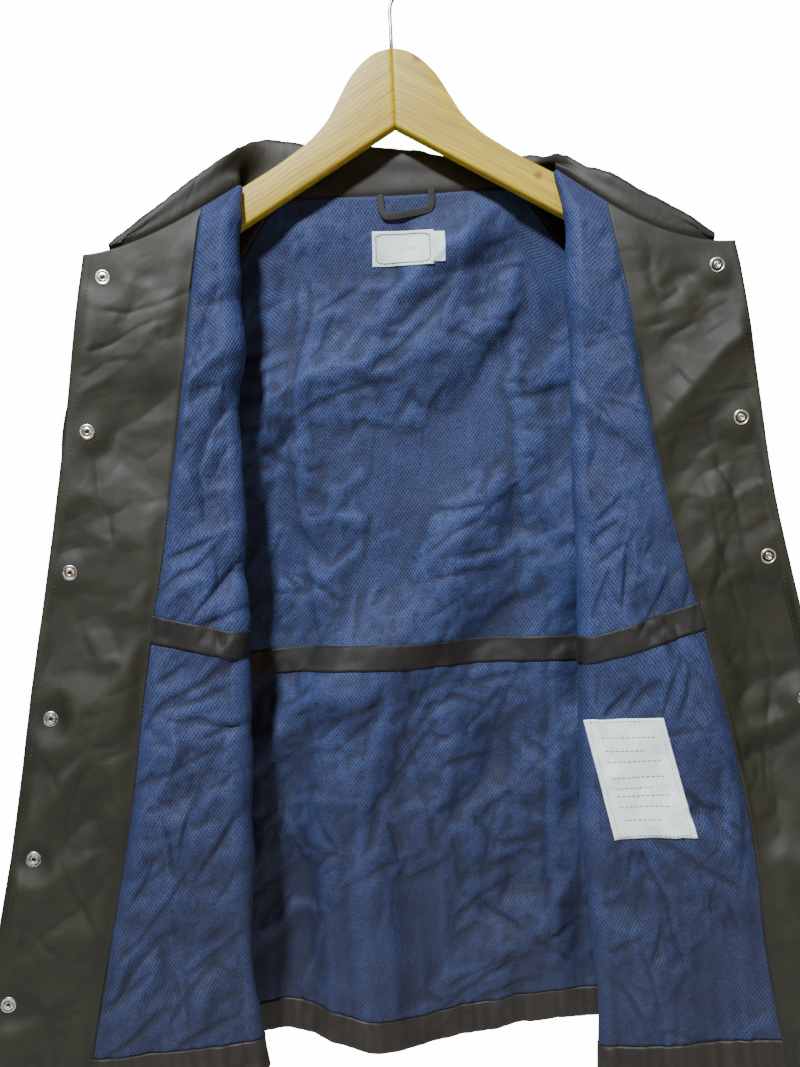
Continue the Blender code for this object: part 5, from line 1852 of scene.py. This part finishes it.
# The flat cut of each sheet, for the part of it that shows: width and length in metres, area in
# square metres, what it hangs from or lies on, and the seams on it. The areas, the lengths of tape
# and casing and the labels were read off the finished meshes.
woodArms = ["hanger_arm_left_wood", "hanger_arm_right_wood"]
frontSheets = {
    "shell_{}_cloth": ((0.345, 0.75, 0.207), (0.362, 0.757, 0.229), ["front_{}_topstitch"]),
    "lining_{}_mesh": ((0.25, 0.724, 0.152), (0.272, 0.73, 0.171), []),
    "facing_{}_cloth": ((0.092, 0.722, 0.064), (0.094, 0.722, 0.0605), ["facing_{}_seam"]),
}
for name, (*cuts, seams) in frontSheets.items():
    for side, cut, arm in zip(fronts, cuts, woodArms):
        under = arm if name.startswith("shell") else f"shell_{side}_cloth"
trims = {"back": (0.573, 0.49), "left": (0.255, 0.268), "right": (0.288, 0.287)}
for side, (tape, casing) in trims.items():
    under = "lining_back_lower_mesh" if side == "back" else f"lining_{side}_mesh"
    seam = f"tape_{side}_stitches"
    under, seam = f"shell_{side}_cloth", f"hem_{side}_stitches"
for side, arm in zip(fronts, woodArms):
    cloth, seams = f"sleeve_{side}_cloth", (f"raglan_{side}_topstitch", f"cuff_{side}_stitches")


view = {"place": (-12.8, -813, -499.4), "lens": 960 / 1067 * 36, "roll": -2.8}
camera = bpy.data.objects.new("camera", bpy.data.cameras.new("camera"))
camera.data.lens = view["lens"]
camera.data.sensor_width = 36
camera.data.clip_start = 0.01
camera.matrix_world = (
    Matrix.Translation(Vector(view["place"]) * mm)
    @ Matrix.Rotation(math.radians(90), 4, "X")
    @ Matrix.Rotation(math.radians(view["roll"]), 4, "Z")
)
bpy.context.scene.collection.objects.link(camera)
bpy.context.scene.camera = camera

# Directions are azimuth, left of the camera, and elevation; sizes and distances are in metres.
lights = {
    "key": {"turn": 15, "rise": 44, "far": 2.8, "size": 0.26, "power": 196, "colour": "#f4f8ff"},
    "fill": {"turn": -20, "rise": 4, "far": 3.0, "size": 1.0, "power": 13, "colour": "#ffdcb4"},
    "back": {"turn": 170, "rise": 35, "far": 2.0, "size": 1.2, "power": 30, "colour": "#ffffff"},
}
aim = Vector((0, 0, -0.5))
for name, light in lights.items():
    turn, rise = math.radians(light["turn"]), math.radians(light["rise"])
    flat = math.cos(rise)
    way = Vector((-math.sin(turn) * flat, -math.cos(turn) * flat, math.sin(rise)))
    data = bpy.data.lights.new(name, "AREA")
    data.size = light["size"]
    data.energy = light["power"]
    data.color = linear(light["colour"])[:3]
    obj = bpy.data.objects.new(name, data)
    obj.location = aim + way * light["far"]
    obj.rotation_euler = (-way).to_track_quat("-Z", "Y").to_euler()
    bpy.context.scene.collection.objects.link(obj)

# The lamps do most of the work: the sky is dim on the cloth and near white behind it.
sky = {"colour": "#ffd2a0", "seen": "#f4f6f8", "light": 0.085, "backdrop": 16.0}
world = bpy.data.worlds.new("studio")
world.use_nodes = True
tree = world.node_tree
background = tree.nodes["Background"]
seen = node(tree, "LightPath", out="Is Camera Ray")
tone = node(tree, "ValToRGB", seen, stops=[(0.0, sky["colour"]), (1.0, sky["seen"])])
more = sky["backdrop"] - sky["light"]
strength = node(tree, "Math", seen, more, sky["light"], operation="MULTIPLY_ADD")
for source, socket in zip((tone, strength), background.inputs):
    tree.links.new(source, socket)
bpy.context.scene.world = world

# A plain pale floor, which lies below the jacket as under a rail.
ground = {"height": -1.62, "half": 1.6, "front": -1.4, "back": 1.1}
x = np.linspace(-ground["half"], ground["half"], 9)
y = np.linspace(ground["front"], ground["back"], 9)
grid = points(x[None, :], y[:, None], ground["height"] + 0 * x[None, :])
paper = matt("mattPaper", "#eeeeec", "#f5f5f3", 0.9, 30.0)
floor = meshPiece("floor", grid / mm, gridFaces(*grid.shape[:2]), paper)
print("camera, light and floor placed")
